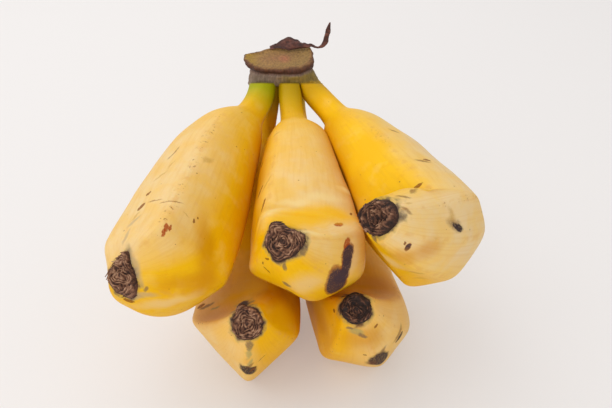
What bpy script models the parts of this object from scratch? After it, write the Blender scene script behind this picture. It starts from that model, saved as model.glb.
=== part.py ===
"""A hand of five bananas joined at a dried crown.

The tips point to -Y and the crown to +Y, with +Z up. It rests on flat spots
under the two lower bananas. The origin is the middle of its box, on the surface.
Sizes are millimetres until a mesh is written, which is in metres.
"""
import math

import bmesh
import bpy
import numpy as np
from mathutils import Vector
from mathutils.bvhtree import BVHTree

MM = 0.001
UP = np.array([0.0, 0.0, 1.0])
# middle of the hand's box, measured from the point the spines are given from
MIDDLE = (-1.60, 3.84)

# gaps left between two pressed bananas, and between a stalk and the crown
PRESSED_GAP = 0.6
CROWN_GAP = 0.4

# resolution of one banana: points round it, rings along its body, rings over its end
AROUND = 28
ALONG = 26
END_RINGS = 8

# radius of a banana's body, at shares of its length from the end of its stalk
BODY_RADIUS = (
    (0.083, 10.6), (0.186, 14.6), (0.338, 17.8), (0.559, 20.4), (0.834, 21.8), (1.0, 21.4))
# how far its round section turns into a ridged one, along the body
RIDGED = ((0.0, 0.25), (0.25, 0.35), (0.6, 0.40), (0.85, 0.6), (1.0, 0.9))
# how rounded the ridges are on the body and at the end: a higher number is sharper
BODY_SOFTNESS = 8
END_SOFTNESS = 14
# shape of the end from the side: 1 is a dome, 2 is a cone
END_FLATNESS = 1.3

# Each banana: the middle line from its root to its end, the place and direction of
# its flower scar, its girth, its stalk's radius and share of the length, its ridges
# in degrees from the top, turning left, how far each ridge reaches, and the scar's
# outline as an angle and a share of its radius.
BANANAS = {
    "left": {
        "spine": (
            (-20.4, 60, 101), (-22.6, 42.5, 92.2), (-35.2, 19, 83.6), (-45, -10, 73), (-53.5, -45, 62.4)),
        "scar": (-66.5, -59, 67), "facing": (-0.41, -0.84, 0.36), "scar_radius": 6.9,
        "girth": 1.06, "stalk": (6.3, 0.25),
        "ridges": (-8, 60, 136, 190, 262), "reach": (1.15, 1.16, 1.25, 1.17, 1.15),
        "outline": (
            (0, 1.5), (20, 1.12), (45, 0.85), (90, 0.93), (135, 0.98), (180, 0.95), (215, 1.2),
            (250, 1.05), (290, 0.85), (335, 0.98))},
    "centre": {
        "spine": (
            (-8, 59.5, 101), (-7, 40, 90), (-3, 13, 77), (-0.5, -14.5, 66.5), (0, -37.5, 64)),
        "scar": (-8, -52, 78), "facing": (-0.24, -0.74, 0.63), "scar_radius": 7.1,
        "girth": 1.04, "stalk": (5.4, 0.29),
        "ridges": (40, 112, 190, 242, 296), "reach": (1.14, 1.17, 1.19, 1.25, 1.18),
        "outline": (
            (43, 1.28), (75, 1.02), (107, 1.03), (140, 0.93), (168, 1.05), (210, 0.88), (252, 0.95),
            (294, 1.2), (325, 0.93), (350, 0.84))},
    "right": {
        "spine": (
            (-1.5, 59.5, 100.5), (2.8, 51.5, 94.8), (10.2, 42.5, 89.5), (24.5, 19.5, 79.5),
            (38.5, -8, 71.5), (49.5, -35.5, 68.5)),
        "scar": (27, -49, 87), "facing": (-0.67, -0.59, 0.46), "scar_radius": 7.3,
        "girth": 1.07, "stalk": (5.9, 0.27),
        "ridges": (9, 80, 160, 210, 262, 315), "reach": (1.12, 1.13, 1.13, 1.33, 1.16, 1.1),
        "outline": (
            (0, 0.98), (25, 0.92), (60, 0.98), (95, 1.15), (135, 0.98), (180, 0.93), (245, 0.9),
            (300, 1.12), (335, 1.08))},
    "lower_left": {
        "spine": (
            (-16.5, 63.5, 99), (-20.6, 56.5, 76), (-24.5, 32, 50), (-25, 5, 24), (-25, -38.5, 23.5)),
        "scar": (-22.5, -57, 44), "facing": (0, -0.82, 0.57), "scar_radius": 6.4,
        "girth": 1.04, "stalk": (5.8, 0.21),
        "ridges": (75, 180, 268, 330), "reach": (1.17, 1.19, 1.07, 1.15),
        "outline": (
            (0, 0.98), (26, 1.2), (52, 0.97), (90, 0.93), (140, 1.1), (190, 1.08), (225, 0.98),
            (260, 0.97), (300, 0.93), (330, 0.97))},
    "lower_right": {
        "spine": (
            (-6.5, 63.5, 99), (-5.8, 56.5, 76), (5, 32, 50), (15.5, 9, 23.5), (22, -31, 20.5)),
        "scar": (19.5, -51, 45.5), "facing": (0, -0.79, 0.61), "scar_radius": 6.4,
        "girth": 1.03, "stalk": (5.8, 0.21),
        "ridges": (40, 133, 205, 262, 310), "reach": (1.12, 1.05, 1.18, 1.15, 1.12),
        "outline": (
            (0, 1.03), (30, 0.95), (56, 0.95), (101, 0.95), (140, 0.92), (180, 0.96), (215, 0.95),
            (243, 1.03), (270, 0.95), (301, 1.0), (330, 0.95))},
}


def unit(vector):
    vector = np.asarray(vector, float)
    return vector / np.linalg.norm(vector)


def curve_through(points, share):
    """Natural cubic spline through points, at shares of its chord length."""
    points = np.asarray(points, float)
    knots = np.concatenate([[0], np.cumsum(np.linalg.norm(np.diff(points, axis=0), axis=1))])
    knots /= knots[-1]
    count = len(knots)
    matrix = np.zeros((count, count))
    right = np.zeros((count, 3))
    matrix[0, 0] = 1
    matrix[-1, -1] = 1
    for i in range(1, count - 1):
        before = knots[i] - knots[i - 1]
        after = knots[i + 1] - knots[i]
        matrix[i, i - 1:i + 2] = before, 2 * (before + after), after
        right[i] = 6 * ((points[i + 1] - points[i]) / after - (points[i] - points[i - 1]) / before)
    bend = np.linalg.solve(matrix, right)
    i = np.clip(np.searchsorted(knots, share, side="right") - 1, 0, count - 2)
    span = (knots[i + 1] - knots[i])[:, None]
    x = (share - knots[i])[:, None] / span
    y = 1 - x
    cubic = ((y ** 3 - y) * bend[i] + (x ** 3 - x) * bend[i + 1]) * span ** 2 / 6
    return y * points[i] + x * points[i + 1] + cubic


def smooth_profile(pairs, share):
    """Curve through (share, value) pairs that never swings past them."""
    xs = np.array([pair[0] for pair in pairs], float)
    ys = np.array([pair[1] for pair in pairs], float)
    slope = np.diff(ys) / np.diff(xs)
    tangent = np.zeros(len(xs))
    for i in range(1, len(xs) - 1):
        if slope[i - 1] * slope[i] > 0:
            tangent[i] = 2 * slope[i - 1] * slope[i] / (slope[i - 1] + slope[i])
    tangent[0] = slope[0]
    tangent[-1] = slope[-1]
    i = np.clip(np.searchsorted(xs, share, side="right") - 1, 0, len(xs) - 2)
    span = xs[i + 1] - xs[i]
    s = (share - xs[i]) / span
    return ((2 * s ** 3 - 3 * s ** 2 + 1) * ys[i] + (s ** 3 - 2 * s ** 2 + s) * span * tangent[i]
            + (-2 * s ** 3 + 3 * s ** 2) * ys[i + 1] + (s ** 3 - s ** 2) * span * tangent[i + 1])


def angles_between(ridges, around):
    """Angles round a section, with one on every ridge."""
    ridges = np.sort(np.asarray(ridges, float))
    gaps = np.diff(np.append(ridges, ridges[0] + 360))
    counts = np.maximum(3, np.round(gaps / 360 * around)).astype(int)
    counts[np.argmax(gaps)] += around - counts.sum()
    steps = [np.linspace(a, a + gap, n, endpoint=False) for a, gap, n in zip(ridges, gaps, counts)]
    return np.radians(np.concatenate(steps))


def ridged_section(theta, banana, softness):
    """Radius factor of a rounded polygon with its corners at the ridges."""
    angles = np.radians(banana["ridges"])
    corners = np.stack([np.cos(angles), np.sin(angles)], axis=1) * np.array(banana["reach"])[:, None]
    total = np.zeros_like(theta)
    for corner, following in zip(corners, np.roll(corners, -1, axis=0)):
        outward = np.array([following[1] - corner[1], corner[0] - following[0]])
        outward /= np.hypot(*outward)
        distance = outward @ corner
        reach = np.maximum(0, np.cos(theta) * outward[0] + np.sin(theta) * outward[1]) / distance
        total += reach ** softness
    return total ** (-1.0 / softness)


def ring(centre, direction, radius, theta):
    """Points round a centre, in the plane across a direction, starting at the top."""
    top = unit(UP - direction * (UP @ direction))
    side = np.cross(direction, top)
    return centre + np.outer(radius * np.cos(theta), top) + np.outer(radius * np.sin(theta), side)


def body_line(banana, share):
    """Middle line of a banana, and its radius: a thin stalk that swells into the body."""
    stalk, end = banana["stalk"]
    profile = [(0.0, stalk), (end * 0.75, stalk * 1.04), (end, stalk * 1.12)]
    profile += [(end + (1 - end) * place, radius * banana["girth"]) for place, radius in BODY_RADIUS]
    return curve_through(banana["spine"], share), smooth_profile(profile, share)


def balls_inside(banana):
    """Balls that fill a banana, which tell how near a point is to it."""
    centres, radius = body_line(banana, np.linspace(0, 1, 60))
    share = np.linspace(0, 1, 13)[1:]
    to_scar = np.asarray(banana["scar"], float) - centres[-1]
    tip = centres[-1] + np.outer(share * 0.8, to_scar)
    return np.concatenate([centres, tip]), np.concatenate([radius, radius[-1] * (1 - 0.62 * share)])


def nearness(points, balls):
    """How many radii away the nearest ball is, and which ball that is."""
    centres, radius = balls
    distance = np.linalg.norm(points[:, None] - centres[None], axis=2) / radius[None]
    nearest = distance.argmin(axis=1)
    return distance[np.arange(len(points)), nearest], nearest


def press(points, own, others, gap):
    """Bananas that touch flatten each other: pull points back to their own side."""
    nearest = nearness(points, own)[1]
    axis = own[0][nearest]
    margin = gap / own[1][nearest]

    def is_free(scale):
        moved = axis + (points - axis) * scale[:, None]
        theirs = np.min([nearness(moved, other)[0] for other in others], axis=0)
        return nearness(moved, own)[0] + margin <= theirs

    low = np.full(len(points), 0.3)
    high = np.ones(len(points))
    untouched = is_free(high)
    for _ in range(18):
        middle = (low + high) / 2
        free = is_free(middle)
        low = np.where(free, middle, low)
        high = np.where(free, high, middle)
    return axis + (points - axis) * np.where(untouched, 1.0, low)[:, None]


def banana_rings(banana, around, along, end_rings):
    """Rings from the root to the scar: the body, then a slanted end like a cone."""
    theta = angles_between(banana["ridges"], around)
    body_section = ridged_section(theta, banana, BODY_SOFTNESS)
    end_section = ridged_section(theta, banana, END_SOFTNESS)
    share = np.linspace(0, 1, along)
    centres, radius = body_line(banana, share)
    directions = np.gradient(centres, axis=0)
    rings = []
    for i in range(along):
        keen = np.interp(share[i], [p[0] for p in RIDGED], [p[1] for p in RIDGED])
        sharper = max(0.0, share[i] * 2 - 1)
        section = body_section * (1 - sharper) + end_section * sharper
        rings.append(ring(centres[i], unit(directions[i]), (1 - keen + keen * section) * radius[i], theta))
    end = centres[-1]
    axis = unit(directions[-1])
    facing = unit(banana["facing"])
    to_scar = np.asarray(banana["scar"], float) - end
    reach = to_scar @ axis
    sideways = to_scar - reach * axis
    last = banana["scar_radius"] + 0.7
    for s in np.linspace(0, 1, end_rings + 1)[1:]:
        rise = math.sin(s * math.pi / 2) ** END_FLATNESS
        closing = 1 - max(0.0, math.cos(s * math.pi / 2)) ** END_FLATNESS
        keen = 0.9 + 0.25 * math.sin(math.pi * s) - 0.25 * s
        size = (1 - keen + keen * end_section) * (radius[-1] + (last - radius[-1]) * closing)
        turned = unit(axis * (1 - closing) + facing * closing)
        rings.append(ring(end + axis * reach * rise + sideways * closing, turned, size, theta))
    return rings


def skin_over(name, rings, first_pole, last_pole, material):
    """One closed mesh over rings of equal count, closed by a point at each end."""
    mesh_points = np.concatenate(rings + [[first_pole], [last_pole]])
    around = len(rings[0])
    mesh = bmesh.new()
    verts = [mesh.verts.new((point - SHIFT) * MM) for point in mesh_points]
    for i in range(len(rings) - 1):
        for j in range(around):
            a = i * around + j
            b = i * around + (j + 1) % around
            mesh.faces.new((verts[a], verts[b], verts[b + around], verts[a + around]))
    top = (len(rings) - 1) * around
    for j in range(around):
        following = (j + 1) % around
        mesh.faces.new((verts[-2], verts[following], verts[j]))
        mesh.faces.new((verts[-1], verts[top + j], verts[top + following]))
    bmesh.ops.triangulate(mesh, faces=mesh.faces[:])
    bmesh.ops.recalc_face_normals(mesh, faces=mesh.faces[:])
    data = bpy.data.meshes.new(name)
    mesh.to_mesh(data)
    mesh.free()
    piece = bpy.data.objects.new(name, data)
    if material is None:
        piece.display_type = "WIRE"
        piece.hide_render = True
        cutters.objects.link(piece)
    else:
        data.materials.append(material)
        data.shade_smooth()
        hand.objects.link(piece)
    return piece


def skin_material(name, colour, roughness):
    material = bpy.data.materials.new(name)
    material.use_nodes = True
    shader = material.node_tree.nodes["Principled BSDF"]
    shader.inputs["Base Color"].default_value = (*colour, 1)
    shader.inputs["Roughness"].default_value = roughness
    shader.inputs["Metallic"].default_value = 0.0
    return material


def cut(piece, cutter):
    modifier = piece.modifiers.new("cut " + cutter.name, "BOOLEAN")
    modifier.operation = "DIFFERENCE"
    modifier.object = cutter


for old in list(bpy.data.objects):
    bpy.data.objects.remove(old, do_unlink=True)
hand = bpy.data.collections.new("hand_of_bananas")
cutters = bpy.data.collections.new("cutters")
bpy.context.scene.collection.children.link(hand)
bpy.context.scene.collection.children.link(cutters)
SHIFT = np.array([MIDDLE[0], MIDDLE[1], 0.0])

yellow_skin = skin_material("yellow skin", (0.86, 0.52, 0.08), 0.5)
dried_crown = skin_material("dried crown", (0.26, 0.15, 0.05), 0.85)
dried_husk = skin_material("dried husk", (0.07, 0.03, 0.02), 0.9)
scar_tissue = skin_material("scar tissue", (0.10, 0.05, 0.03), 0.9)

# Crown: a pad with a slanted underside that takes the stalks and a slanted cut face.
CROWN_MIDDLE = (-11.2, 61.0)
CROWN_LEAN = -1.3
CROWN_SQUARENESS = 2.7
CROWN_FRONT = 50.0
UNDERSIDE = (98.0, -0.40)
CUT_FACE = (106.0, 0.30)
# the back edge of the cut face runs aslant: its place behind the middle, and its slope
BACK_EDGE = (68.2, 0.39)
# how far the back stands out below that edge, at the underside, and how soon its rim rounds
BACK_FLARE = 8.0
BACK_ROUNDING = 0.9
FULL_DEPTH = 11.6
CROWN_AROUND = 32
# level from underside to cut face, reach to the left and to the right, half depth
CROWN_LEVELS = (
    (0.0, 9.0, 9.0, 5.5), (0.0, 16.6, 17.6, 9.8), (0.06, 17.3, 18.3, 10.9), (0.22, 16.3, 16.8, 10.9),
    (0.45, 15.7, 15.5, 10.9), (0.60, 15.4, 15.0, 10.4), (0.74, 16.6, 15.7, 11.2), (0.9, 17.2, 16.3, 11.6),
    (0.98, 16.9, 16.0, 11.3), (1.0, 15.8, 15.0, 10.2), (0.97, 14.4, 13.6, 8.8), (0.95, 8.0, 8.0, 4.6))


def crown_point(level, x, y):
    under = UNDERSIDE[0] + UNDERSIDE[1] * (y - CROWN_FRONT)
    top = CUT_FACE[0] + CUT_FACE[1] * (y - CROWN_FRONT)
    return (x, y, under + (top - under) * level)


def crown_rings(grow, around):
    """Lens-shaped rings of the crown, grown outwards by a given distance."""
    theta = np.linspace(0, 2 * math.pi, around, endpoint=False)
    rings = []
    power = 2 / CROWN_SQUARENESS
    for level, left, right, half_depth in CROWN_LEVELS:
        across = np.abs(np.cos(theta)) ** power * np.where(np.cos(theta) > 0, right + grow, -left - grow)
        x = CROWN_MIDDLE[0] + CROWN_LEAN * level + across
        y = CROWN_MIDDLE[1] + (half_depth + grow) * np.sign(np.sin(theta)) * np.abs(np.sin(theta)) ** power
        limit = BACK_EDGE[0] + BACK_EDGE[1] * (x - CROWN_MIDDLE[0]) + grow
        limit += (1 - level) * BACK_FLARE - (FULL_DEPTH - half_depth) * BACK_ROUNDING
        y = np.where(np.sin(theta) > 0, (y + limit - np.sqrt((y - limit) ** 2 + 1.0)) / 2, y)
        rings.append(np.array([crown_point(level, px, py) for px, py in zip(x, y)]))
        rings[-1][:, 2] += -grow if level < 0.3 else grow
    return rings


def add_crown(name, grow, around, material):
    rings = crown_rings(grow, around)
    below = np.array(crown_point(0.0, *CROWN_MIDDLE)) - UP * grow
    above = np.array(crown_point(0.94, *CROWN_MIDDLE)) + UP * grow
    return skin_over(name, rings, below, above, material)


crown = add_crown("crown", 0.0, CROWN_AROUND, dried_crown)
crown_clearance = add_crown("crown_clearance", CROWN_GAP, CROWN_AROUND, None)


def block_cutter(name, size, place, tilt):
    """A box given in millimetres, tilted about X round the middle of its lower face."""
    block = bmesh.new()
    bmesh.ops.create_cube(block, size=1.0)
    bmesh.ops.scale(block, vec=[side * MM for side in size], verts=block.verts)
    bmesh.ops.translate(block, vec=(0, 0, size[2] * MM / 2), verts=block.verts)
    data = bpy.data.meshes.new(name)
    block.to_mesh(data)
    block.free()
    cutter = bpy.data.objects.new(name, data)
    cutter.location = (np.asarray(place, float) - SHIFT) * MM
    cutter.rotation_euler = (tilt, 0, 0)
    cutter.display_type = "WIRE"
    cutter.hide_render = True
    cutters.objects.link(cutter)
    return cutter


# Bananas: each is pressed by its neighbours, its stalk ends at the crown's
# underside, and the two lower ones are flattened where they rest.
# the block that ends the stalks: its place along the crown, and its height above the underside
STALK_CUT = 66.0
STALK_RISE = 1.0
stalk_end_height = UNDERSIDE[0] + UNDERSIDE[1] * (STALK_CUT - CROWN_FRONT) + STALK_RISE
stalk_end = block_cutter(
    "stalk_end", (60, 40, 20), (CROWN_MIDDLE[0], STALK_CUT, stalk_end_height), math.atan(UNDERSIDE[1]))
below_surface = block_cutter("below_surface", (400, 400, 100), (0, 0, -100), 0.0)

core = {name: balls_inside(banana) for name, banana in BANANAS.items()}
skins = {}
for name, banana in BANANAS.items():
    neighbours = [balls for other, balls in core.items() if other != name]
    rings = banana_rings(banana, AROUND, ALONG, END_RINGS)
    pressed = [press(points, core[name], neighbours, PRESSED_GAP) for points in rings]
    root = curve_through(banana["spine"], np.array([0.0]))[0]
    piece = skin_over("banana_" + name, pressed, root, np.asarray(banana["scar"], float), yellow_skin)
    skins[name] = BVHTree.FromPolygons(
        [vertex.co for vertex in piece.data.vertices], [face.vertices for face in piece.data.polygons])
    cut(piece, crown_clearance)
    cut(piece, stalk_end)
    if name.startswith("lower"):
        cut(piece, below_surface)

# Flower scars: a low dished knob on the end of each banana, with its own outline.
# share of the way out and height above the skin, from the underside up over the rim
SCAR_LEVELS = (
    (0.45, 0.5), (0.70, 0.6), (0.85, 0.85), (1.0, 1.1), (0.93, 1.8), (0.74, 2.3), (0.52, 2.1),
    (0.30, 2.2))
# how far the knob leans to one side at its top, in millimetres
SCAR_LEAN = {
    "left": (0.0, 0.4, 1.6), "centre": (0.0, 0.0, 0.0), "right": (-1.8, -0.6, 0.0),
    "lower_left": (0.0, 0.0, 0.0), "lower_right": (0.0, 0.0, 0.0)}
SCAR_TOP = 2.3
# heights of the middle of its underside and of its dish
SCAR_MIDDLES = (0.4, 2.0)
# how far the knob's underside may follow the skin down beside the banana's end
SCAR_DROP = 1.0
# height above the skin from which the point under the scar is looked for
LOOK_HEIGHT = 12.0


def scar_reach(banana, theta):
    """How far the flower scar reaches from its middle, at angles from the top, turning left."""
    pairs = [(angle + turn, share) for turn in (-360, 0, 360) for angle, share in banana["outline"]]
    return smooth_profile(pairs, np.degrees(theta) % 360) * banana["scar_radius"]


def foot_on_skin(skin, point, facing):
    """The point of the skin under a point of the scar's level, or a little below that level."""
    start = (point + facing * LOOK_HEIGHT - SHIFT) * MM
    hit = skin.ray_cast(Vector(start), Vector(-facing))[0]
    if hit is None:
        return point - facing * SCAR_DROP
    height = (np.array(hit) / MM + SHIFT - point) @ facing
    return point + facing * max(height, -SCAR_DROP)


for name, banana in BANANAS.items():
    facing = unit(banana["facing"])
    middle = np.asarray(banana["scar"], float)
    lean = np.asarray(SCAR_LEAN[name]) / SCAR_TOP
    theta = angles_between(banana["ridges"], AROUND)
    reach = scar_reach(banana, theta)
    rings = []
    for share, height in SCAR_LEVELS:
        points = ring(middle, facing, reach * share, theta)
        feet = np.array([foot_on_skin(skins[name], point, facing) for point in points])
        rings.append(feet + (facing + lean) * height)
    below, above = (middle + (facing + lean) * height for height in SCAR_MIDDLES)
    skin_over("scar_" + name, rings, below, above, scar_tissue)

# Husk: a dried flap standing along the back of the cut face, which narrows to a strand
# and curls up in a blade.
# place along it, its width, its thickness, and how far its width leans up, in degrees
HUSK_STATIONS = (
    ((-17.5, 65.3, 110.9), 1.8, 0.9, 30), ((-12.5, 65.3, 112.1), 3.6, 1.5, 45),
    ((-6.0, 65.3, 112.9), 6.4, 1.9, 52), ((-0.5, 65.3, 111.9), 4.2, 1.7, 45),
    ((3.2, 65.5, 111.9), 1.8, 1.2, 20), ((6.2, 65.5, 111.0), 1.6, 0.9, 0),
    ((8.6, 65.5, 112.6), 1.5, 2.4, 0), ((10.2, 65.5, 117.0), 1.2, 2.3, 0),
    ((11.4, 65.5, 123.2), 0.7, 0.7, 0))
share = np.linspace(0, 1, 27)
line = curve_through([station[0] for station in HUSK_STATIONS], share)
places = np.linspace(0, 1, len(HUSK_STATIONS))
widths, thicknesses, leans = (
    smooth_profile(list(zip(places, [station[k] for station in HUSK_STATIONS])), share) for k in (1, 2, 3))
theta = np.linspace(0, 2 * math.pi, 14, endpoint=False)
directions = np.gradient(line, axis=0)
rings = []
for i in range(len(share)):
    along_husk = unit(directions[i])
    level = unit(np.array([0.0, 1.0, 0.0]) - along_husk * along_husk[1])
    raised = np.cross(along_husk, level)
    turn = math.radians(leans[i])
    across = level * math.cos(turn) + raised * math.sin(turn)
    thick = raised * math.cos(turn) - level * math.sin(turn)
    rings.append(line[i] + np.outer(np.cos(theta) * widths[i] / 2, across)
                 + np.outer(np.sin(theta) * thicknesses[i] / 2, thick))
skin_over("crown_husk", rings, line[0], line[-1], dried_husk)
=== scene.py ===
"""Looks of a hand of five ripe yellow bananas, joined at its dried crown.

It lies on its lower row with the tips forward, on a pale surface in soft light.
Shapes are worked out in millimetres and written in metres.
"""
import math

import bmesh
import bpy
import numpy as np
from mathutils import Matrix, Vector, noise
from mathutils.bvhtree import BVHTree


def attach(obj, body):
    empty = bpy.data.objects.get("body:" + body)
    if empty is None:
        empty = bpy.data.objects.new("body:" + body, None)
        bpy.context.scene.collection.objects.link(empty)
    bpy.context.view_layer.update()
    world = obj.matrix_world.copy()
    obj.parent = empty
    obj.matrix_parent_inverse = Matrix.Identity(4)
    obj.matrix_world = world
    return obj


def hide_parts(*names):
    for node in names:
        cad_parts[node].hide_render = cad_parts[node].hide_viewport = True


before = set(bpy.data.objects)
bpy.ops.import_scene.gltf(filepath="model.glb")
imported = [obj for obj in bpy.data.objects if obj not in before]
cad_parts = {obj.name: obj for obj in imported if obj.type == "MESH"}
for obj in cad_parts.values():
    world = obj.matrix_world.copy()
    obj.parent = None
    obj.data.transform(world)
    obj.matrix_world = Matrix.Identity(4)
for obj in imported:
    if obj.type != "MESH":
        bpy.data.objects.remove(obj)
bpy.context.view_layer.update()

# Camera: a normal lens close in front of the tips, looking down on the hand.
# Positions below are in millimetres from the point that the bananas' lines are
# given from, which is MIDDLE away from the middle of the hand's box.
MM = 0.001
MIDDLE = np.array([-1.60, 3.84, 0.0])
PHOTO_WIDTH = 612
PHOTO_HEIGHT = 408
FOCAL_PIXELS = 680.0
CAMERA_PLACE = np.array([0.0, -255.0, 221.5])
CAMERA_DROP = math.radians(32)
SENSOR_WIDTH = 36.0
camera_data = bpy.data.cameras.new("camera")
camera_data.sensor_width = SENSOR_WIDTH
camera_data.lens = SENSOR_WIDTH * FOCAL_PIXELS / PHOTO_WIDTH
camera_data.clip_start = 0.01
camera = bpy.data.objects.new("camera", camera_data)
camera.location = (CAMERA_PLACE - MIDDLE) * MM
camera.rotation_euler = (math.pi / 2 - CAMERA_DROP, 0, 0)
bpy.context.scene.collection.objects.link(camera)
bpy.context.scene.camera = camera

# Bananas: short, thick and angular. Each grew pressed against its neighbours, so
# its round section has ridges, its end slants to the flower scar, and it is
# flattened where it touches the next one. The stalk narrows into the crown.
POINTS_ROUND = 144
RINGS_ALONG = 120
RINGS_END = 54
UP = np.array([0.0, 0.0, 1.0])
# radius of the body, at shares of its length from the stalk's end
BODY_RADIUS = (
    (0.083, 10.6), (0.186, 14.6), (0.338, 17.8), (0.559, 20.4), (0.834, 21.8), (1.0, 21.4))
# how strong the ridges are, at shares of the length: 0 is round, 1 is a full polygon
RIDGED = ((0.0, 0.25), (0.25, 0.35), (0.6, 0.40), (0.85, 0.6), (1.0, 0.9))
# the same where the slanted end begins, and how much it changes along the end
END_KEENNESS = 0.9
KEENNESS_CHANGE = 0.25
# how hard the corners of the section are, in the body and in the slanted end
BODY_SOFTNESS = 8
END_SOFTNESS = 14
# how the end closes: 1 rounds it off as an ellipse, 2 makes it a cone
END_FLATNESS = 1.3
# how far the peel stands out round the scar, and the length that the end counts for
SCAR_LEDGE = 0.7
END_LENGTH = 26.0
# steps in which the point where the stalk enters the crown is looked for
FINE_STEPS = 400
# length over which the stalk's end takes up the slant of the crown's underside
SLANT_LENGTH = 9.0
# a soft fold across the top: height, distance before the body's end and half width
# of a low bump and of the hollow before it
FOLD = ((0.9, 0.0, 3.0), (-1.0, 9.0, 5.0))
# Each banana: its middle line, its flower scar's middle, direction and radius, its girth
# beside the usual, its stalk's radius and the share of the length where that ends, how
# deep the fold is, the angles of its ridges in degrees from the top and how far they
# stand out, and the scar's outline as angles and shares of its radius
BANANAS = {
    "left": {
        "spine": (
            (-20.4, 60, 101), (-22.6, 42.5, 92.2), (-35.2, 19, 83.6), (-45, -10, 73), (-53.5, -45, 62.4)),
        "scar": (-66.5, -59, 67), "facing": (-0.41, -0.84, 0.36), "scar_radius": 6.9,
        "girth": 1.06, "stalk": (6.3, 0.25), "fold": 0.15,
        "ridges": (-8, 60, 136, 190, 262), "reach": (1.15, 1.16, 1.25, 1.17, 1.15),
        "outline": (
            (0, 1.5), (20, 1.12), (45, 0.85), (90, 0.93), (135, 0.98), (180, 0.95), (215, 1.2),
            (250, 1.05), (290, 0.85), (335, 0.98))},
    "centre": {
        "spine": (
            (-8, 59.5, 101), (-7, 40, 90), (-3, 13, 77), (-0.5, -14.5, 66.5), (0, -37.5, 64)),
        "scar": (-8, -52, 78), "facing": (-0.24, -0.74, 0.63), "scar_radius": 7.1,
        "girth": 1.04, "stalk": (5.4, 0.29), "fold": 1.7,
        "ridges": (40, 112, 190, 242, 296), "reach": (1.14, 1.17, 1.19, 1.25, 1.18),
        "outline": (
            (43, 1.28), (75, 1.02), (107, 1.03), (140, 0.93), (168, 1.05), (210, 0.88), (252, 0.95),
            (294, 1.2), (325, 0.93), (350, 0.84))},
    "right": {
        "spine": (
            (-1.5, 59.5, 100.5), (2.8, 51.5, 94.8), (10.2, 42.5, 89.5), (24.5, 19.5, 79.5),
            (38.5, -8, 71.5), (49.5, -35.5, 68.5)),
        "scar": (27, -49, 87), "facing": (-0.67, -0.59, 0.46), "scar_radius": 7.3,
        "girth": 1.07, "stalk": (5.9, 0.27), "fold": 0.1,
        "ridges": (9, 80, 160, 210, 262, 315), "reach": (1.12, 1.13, 1.13, 1.33, 1.16, 1.1),
        "outline": (
            (0, 0.98), (25, 0.92), (60, 0.98), (95, 1.15), (135, 0.98), (180, 0.93), (245, 0.9),
            (300, 1.12), (335, 1.08))},
    "lower_left": {
        "spine": (
            (-16.5, 63.5, 99), (-20.6, 56.5, 76), (-24.5, 32, 50), (-25, 5, 24), (-25, -38.5, 23.5)),
        "scar": (-22.5, -57, 44), "facing": (0, -0.82, 0.57), "scar_radius": 6.4,
        "girth": 1.04, "stalk": (5.8, 0.21), "fold": 0.2,
        "ridges": (75, 180, 268, 330), "reach": (1.17, 1.19, 1.07, 1.15),
        "outline": (
            (0, 0.98), (26, 1.2), (52, 0.97), (90, 0.93), (140, 1.1), (190, 1.08), (225, 0.98),
            (260, 0.97), (300, 0.93), (330, 0.97))},
    "lower_right": {
        "spine": (
            (-6.5, 63.5, 99), (-5.8, 56.5, 76), (5, 32, 50), (15.5, 9, 23.5), (22, -31, 20.5)),
        "scar": (19.5, -51, 45.5), "facing": (0, -0.79, 0.61), "scar_radius": 6.4,
        "girth": 1.03, "stalk": (5.8, 0.21), "fold": 0.2,
        "ridges": (40, 133, 205, 262, 310), "reach": (1.12, 1.05, 1.18, 1.15, 1.12),
        "outline": (
            (0, 1.03), (30, 0.95), (56, 0.95), (101, 0.95), (140, 0.92), (180, 0.96), (215, 0.95),
            (243, 1.03), (270, 0.95), (301, 1.0), (330, 0.95))},
}
# The crown's slanted underside: its height at the front edge, and its slope.
CROWN_FRONT = 50.0
UNDERSIDE_HEIGHT = 98.0
UNDERSIDE_SLOPE = -0.40
# how far the stalks' ends go into it
STALK_SINK = 0.8
# balls that fill a banana: how many lie in the body and in the end, how far out towards
# the scar the end ones reach, and how much smaller they become
BALLS_ALONG = 60
BALLS_END = 13
END_REACH = 0.8
END_TAPER = 0.62
# the least that a pressed point keeps of its distance, and the halvings that find it
LEAST_KEPT = 0.3
HALVINGS = 16
# sets the second direction of a noise's seed apart from the first
SEED_SKEW = 2.3


def unit(vector):
    """The vector at a length of one."""
    vector = np.asarray(vector, float)
    return vector / np.linalg.norm(vector)


def curve_through(points, share):
    """Natural cubic spline through points, at shares of its chord length."""
    points = np.asarray(points, float)
    knots = np.concatenate([[0], np.cumsum(np.linalg.norm(np.diff(points, axis=0), axis=1))])
    knots /= knots[-1]
    count = len(knots)
    matrix = np.zeros((count, count))
    right = np.zeros((count, 3))
    matrix[0, 0] = 1
    matrix[-1, -1] = 1
    for i in range(1, count - 1):
        before = knots[i] - knots[i - 1]
        after = knots[i + 1] - knots[i]
        matrix[i, i - 1:i + 2] = before, 2 * (before + after), after
        right[i] = 6 * ((points[i + 1] - points[i]) / after - (points[i] - points[i - 1]) / before)
    bend = np.linalg.solve(matrix, right)
    i = np.clip(np.searchsorted(knots, share, side="right") - 1, 0, count - 2)
    span = (knots[i + 1] - knots[i])[:, None]
    x = (share - knots[i])[:, None] / span
    y = 1 - x
    cubic = ((y ** 3 - y) * bend[i] + (x ** 3 - x) * bend[i + 1]) * span ** 2 / 6
    return y * points[i] + x * points[i + 1] + cubic


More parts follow.
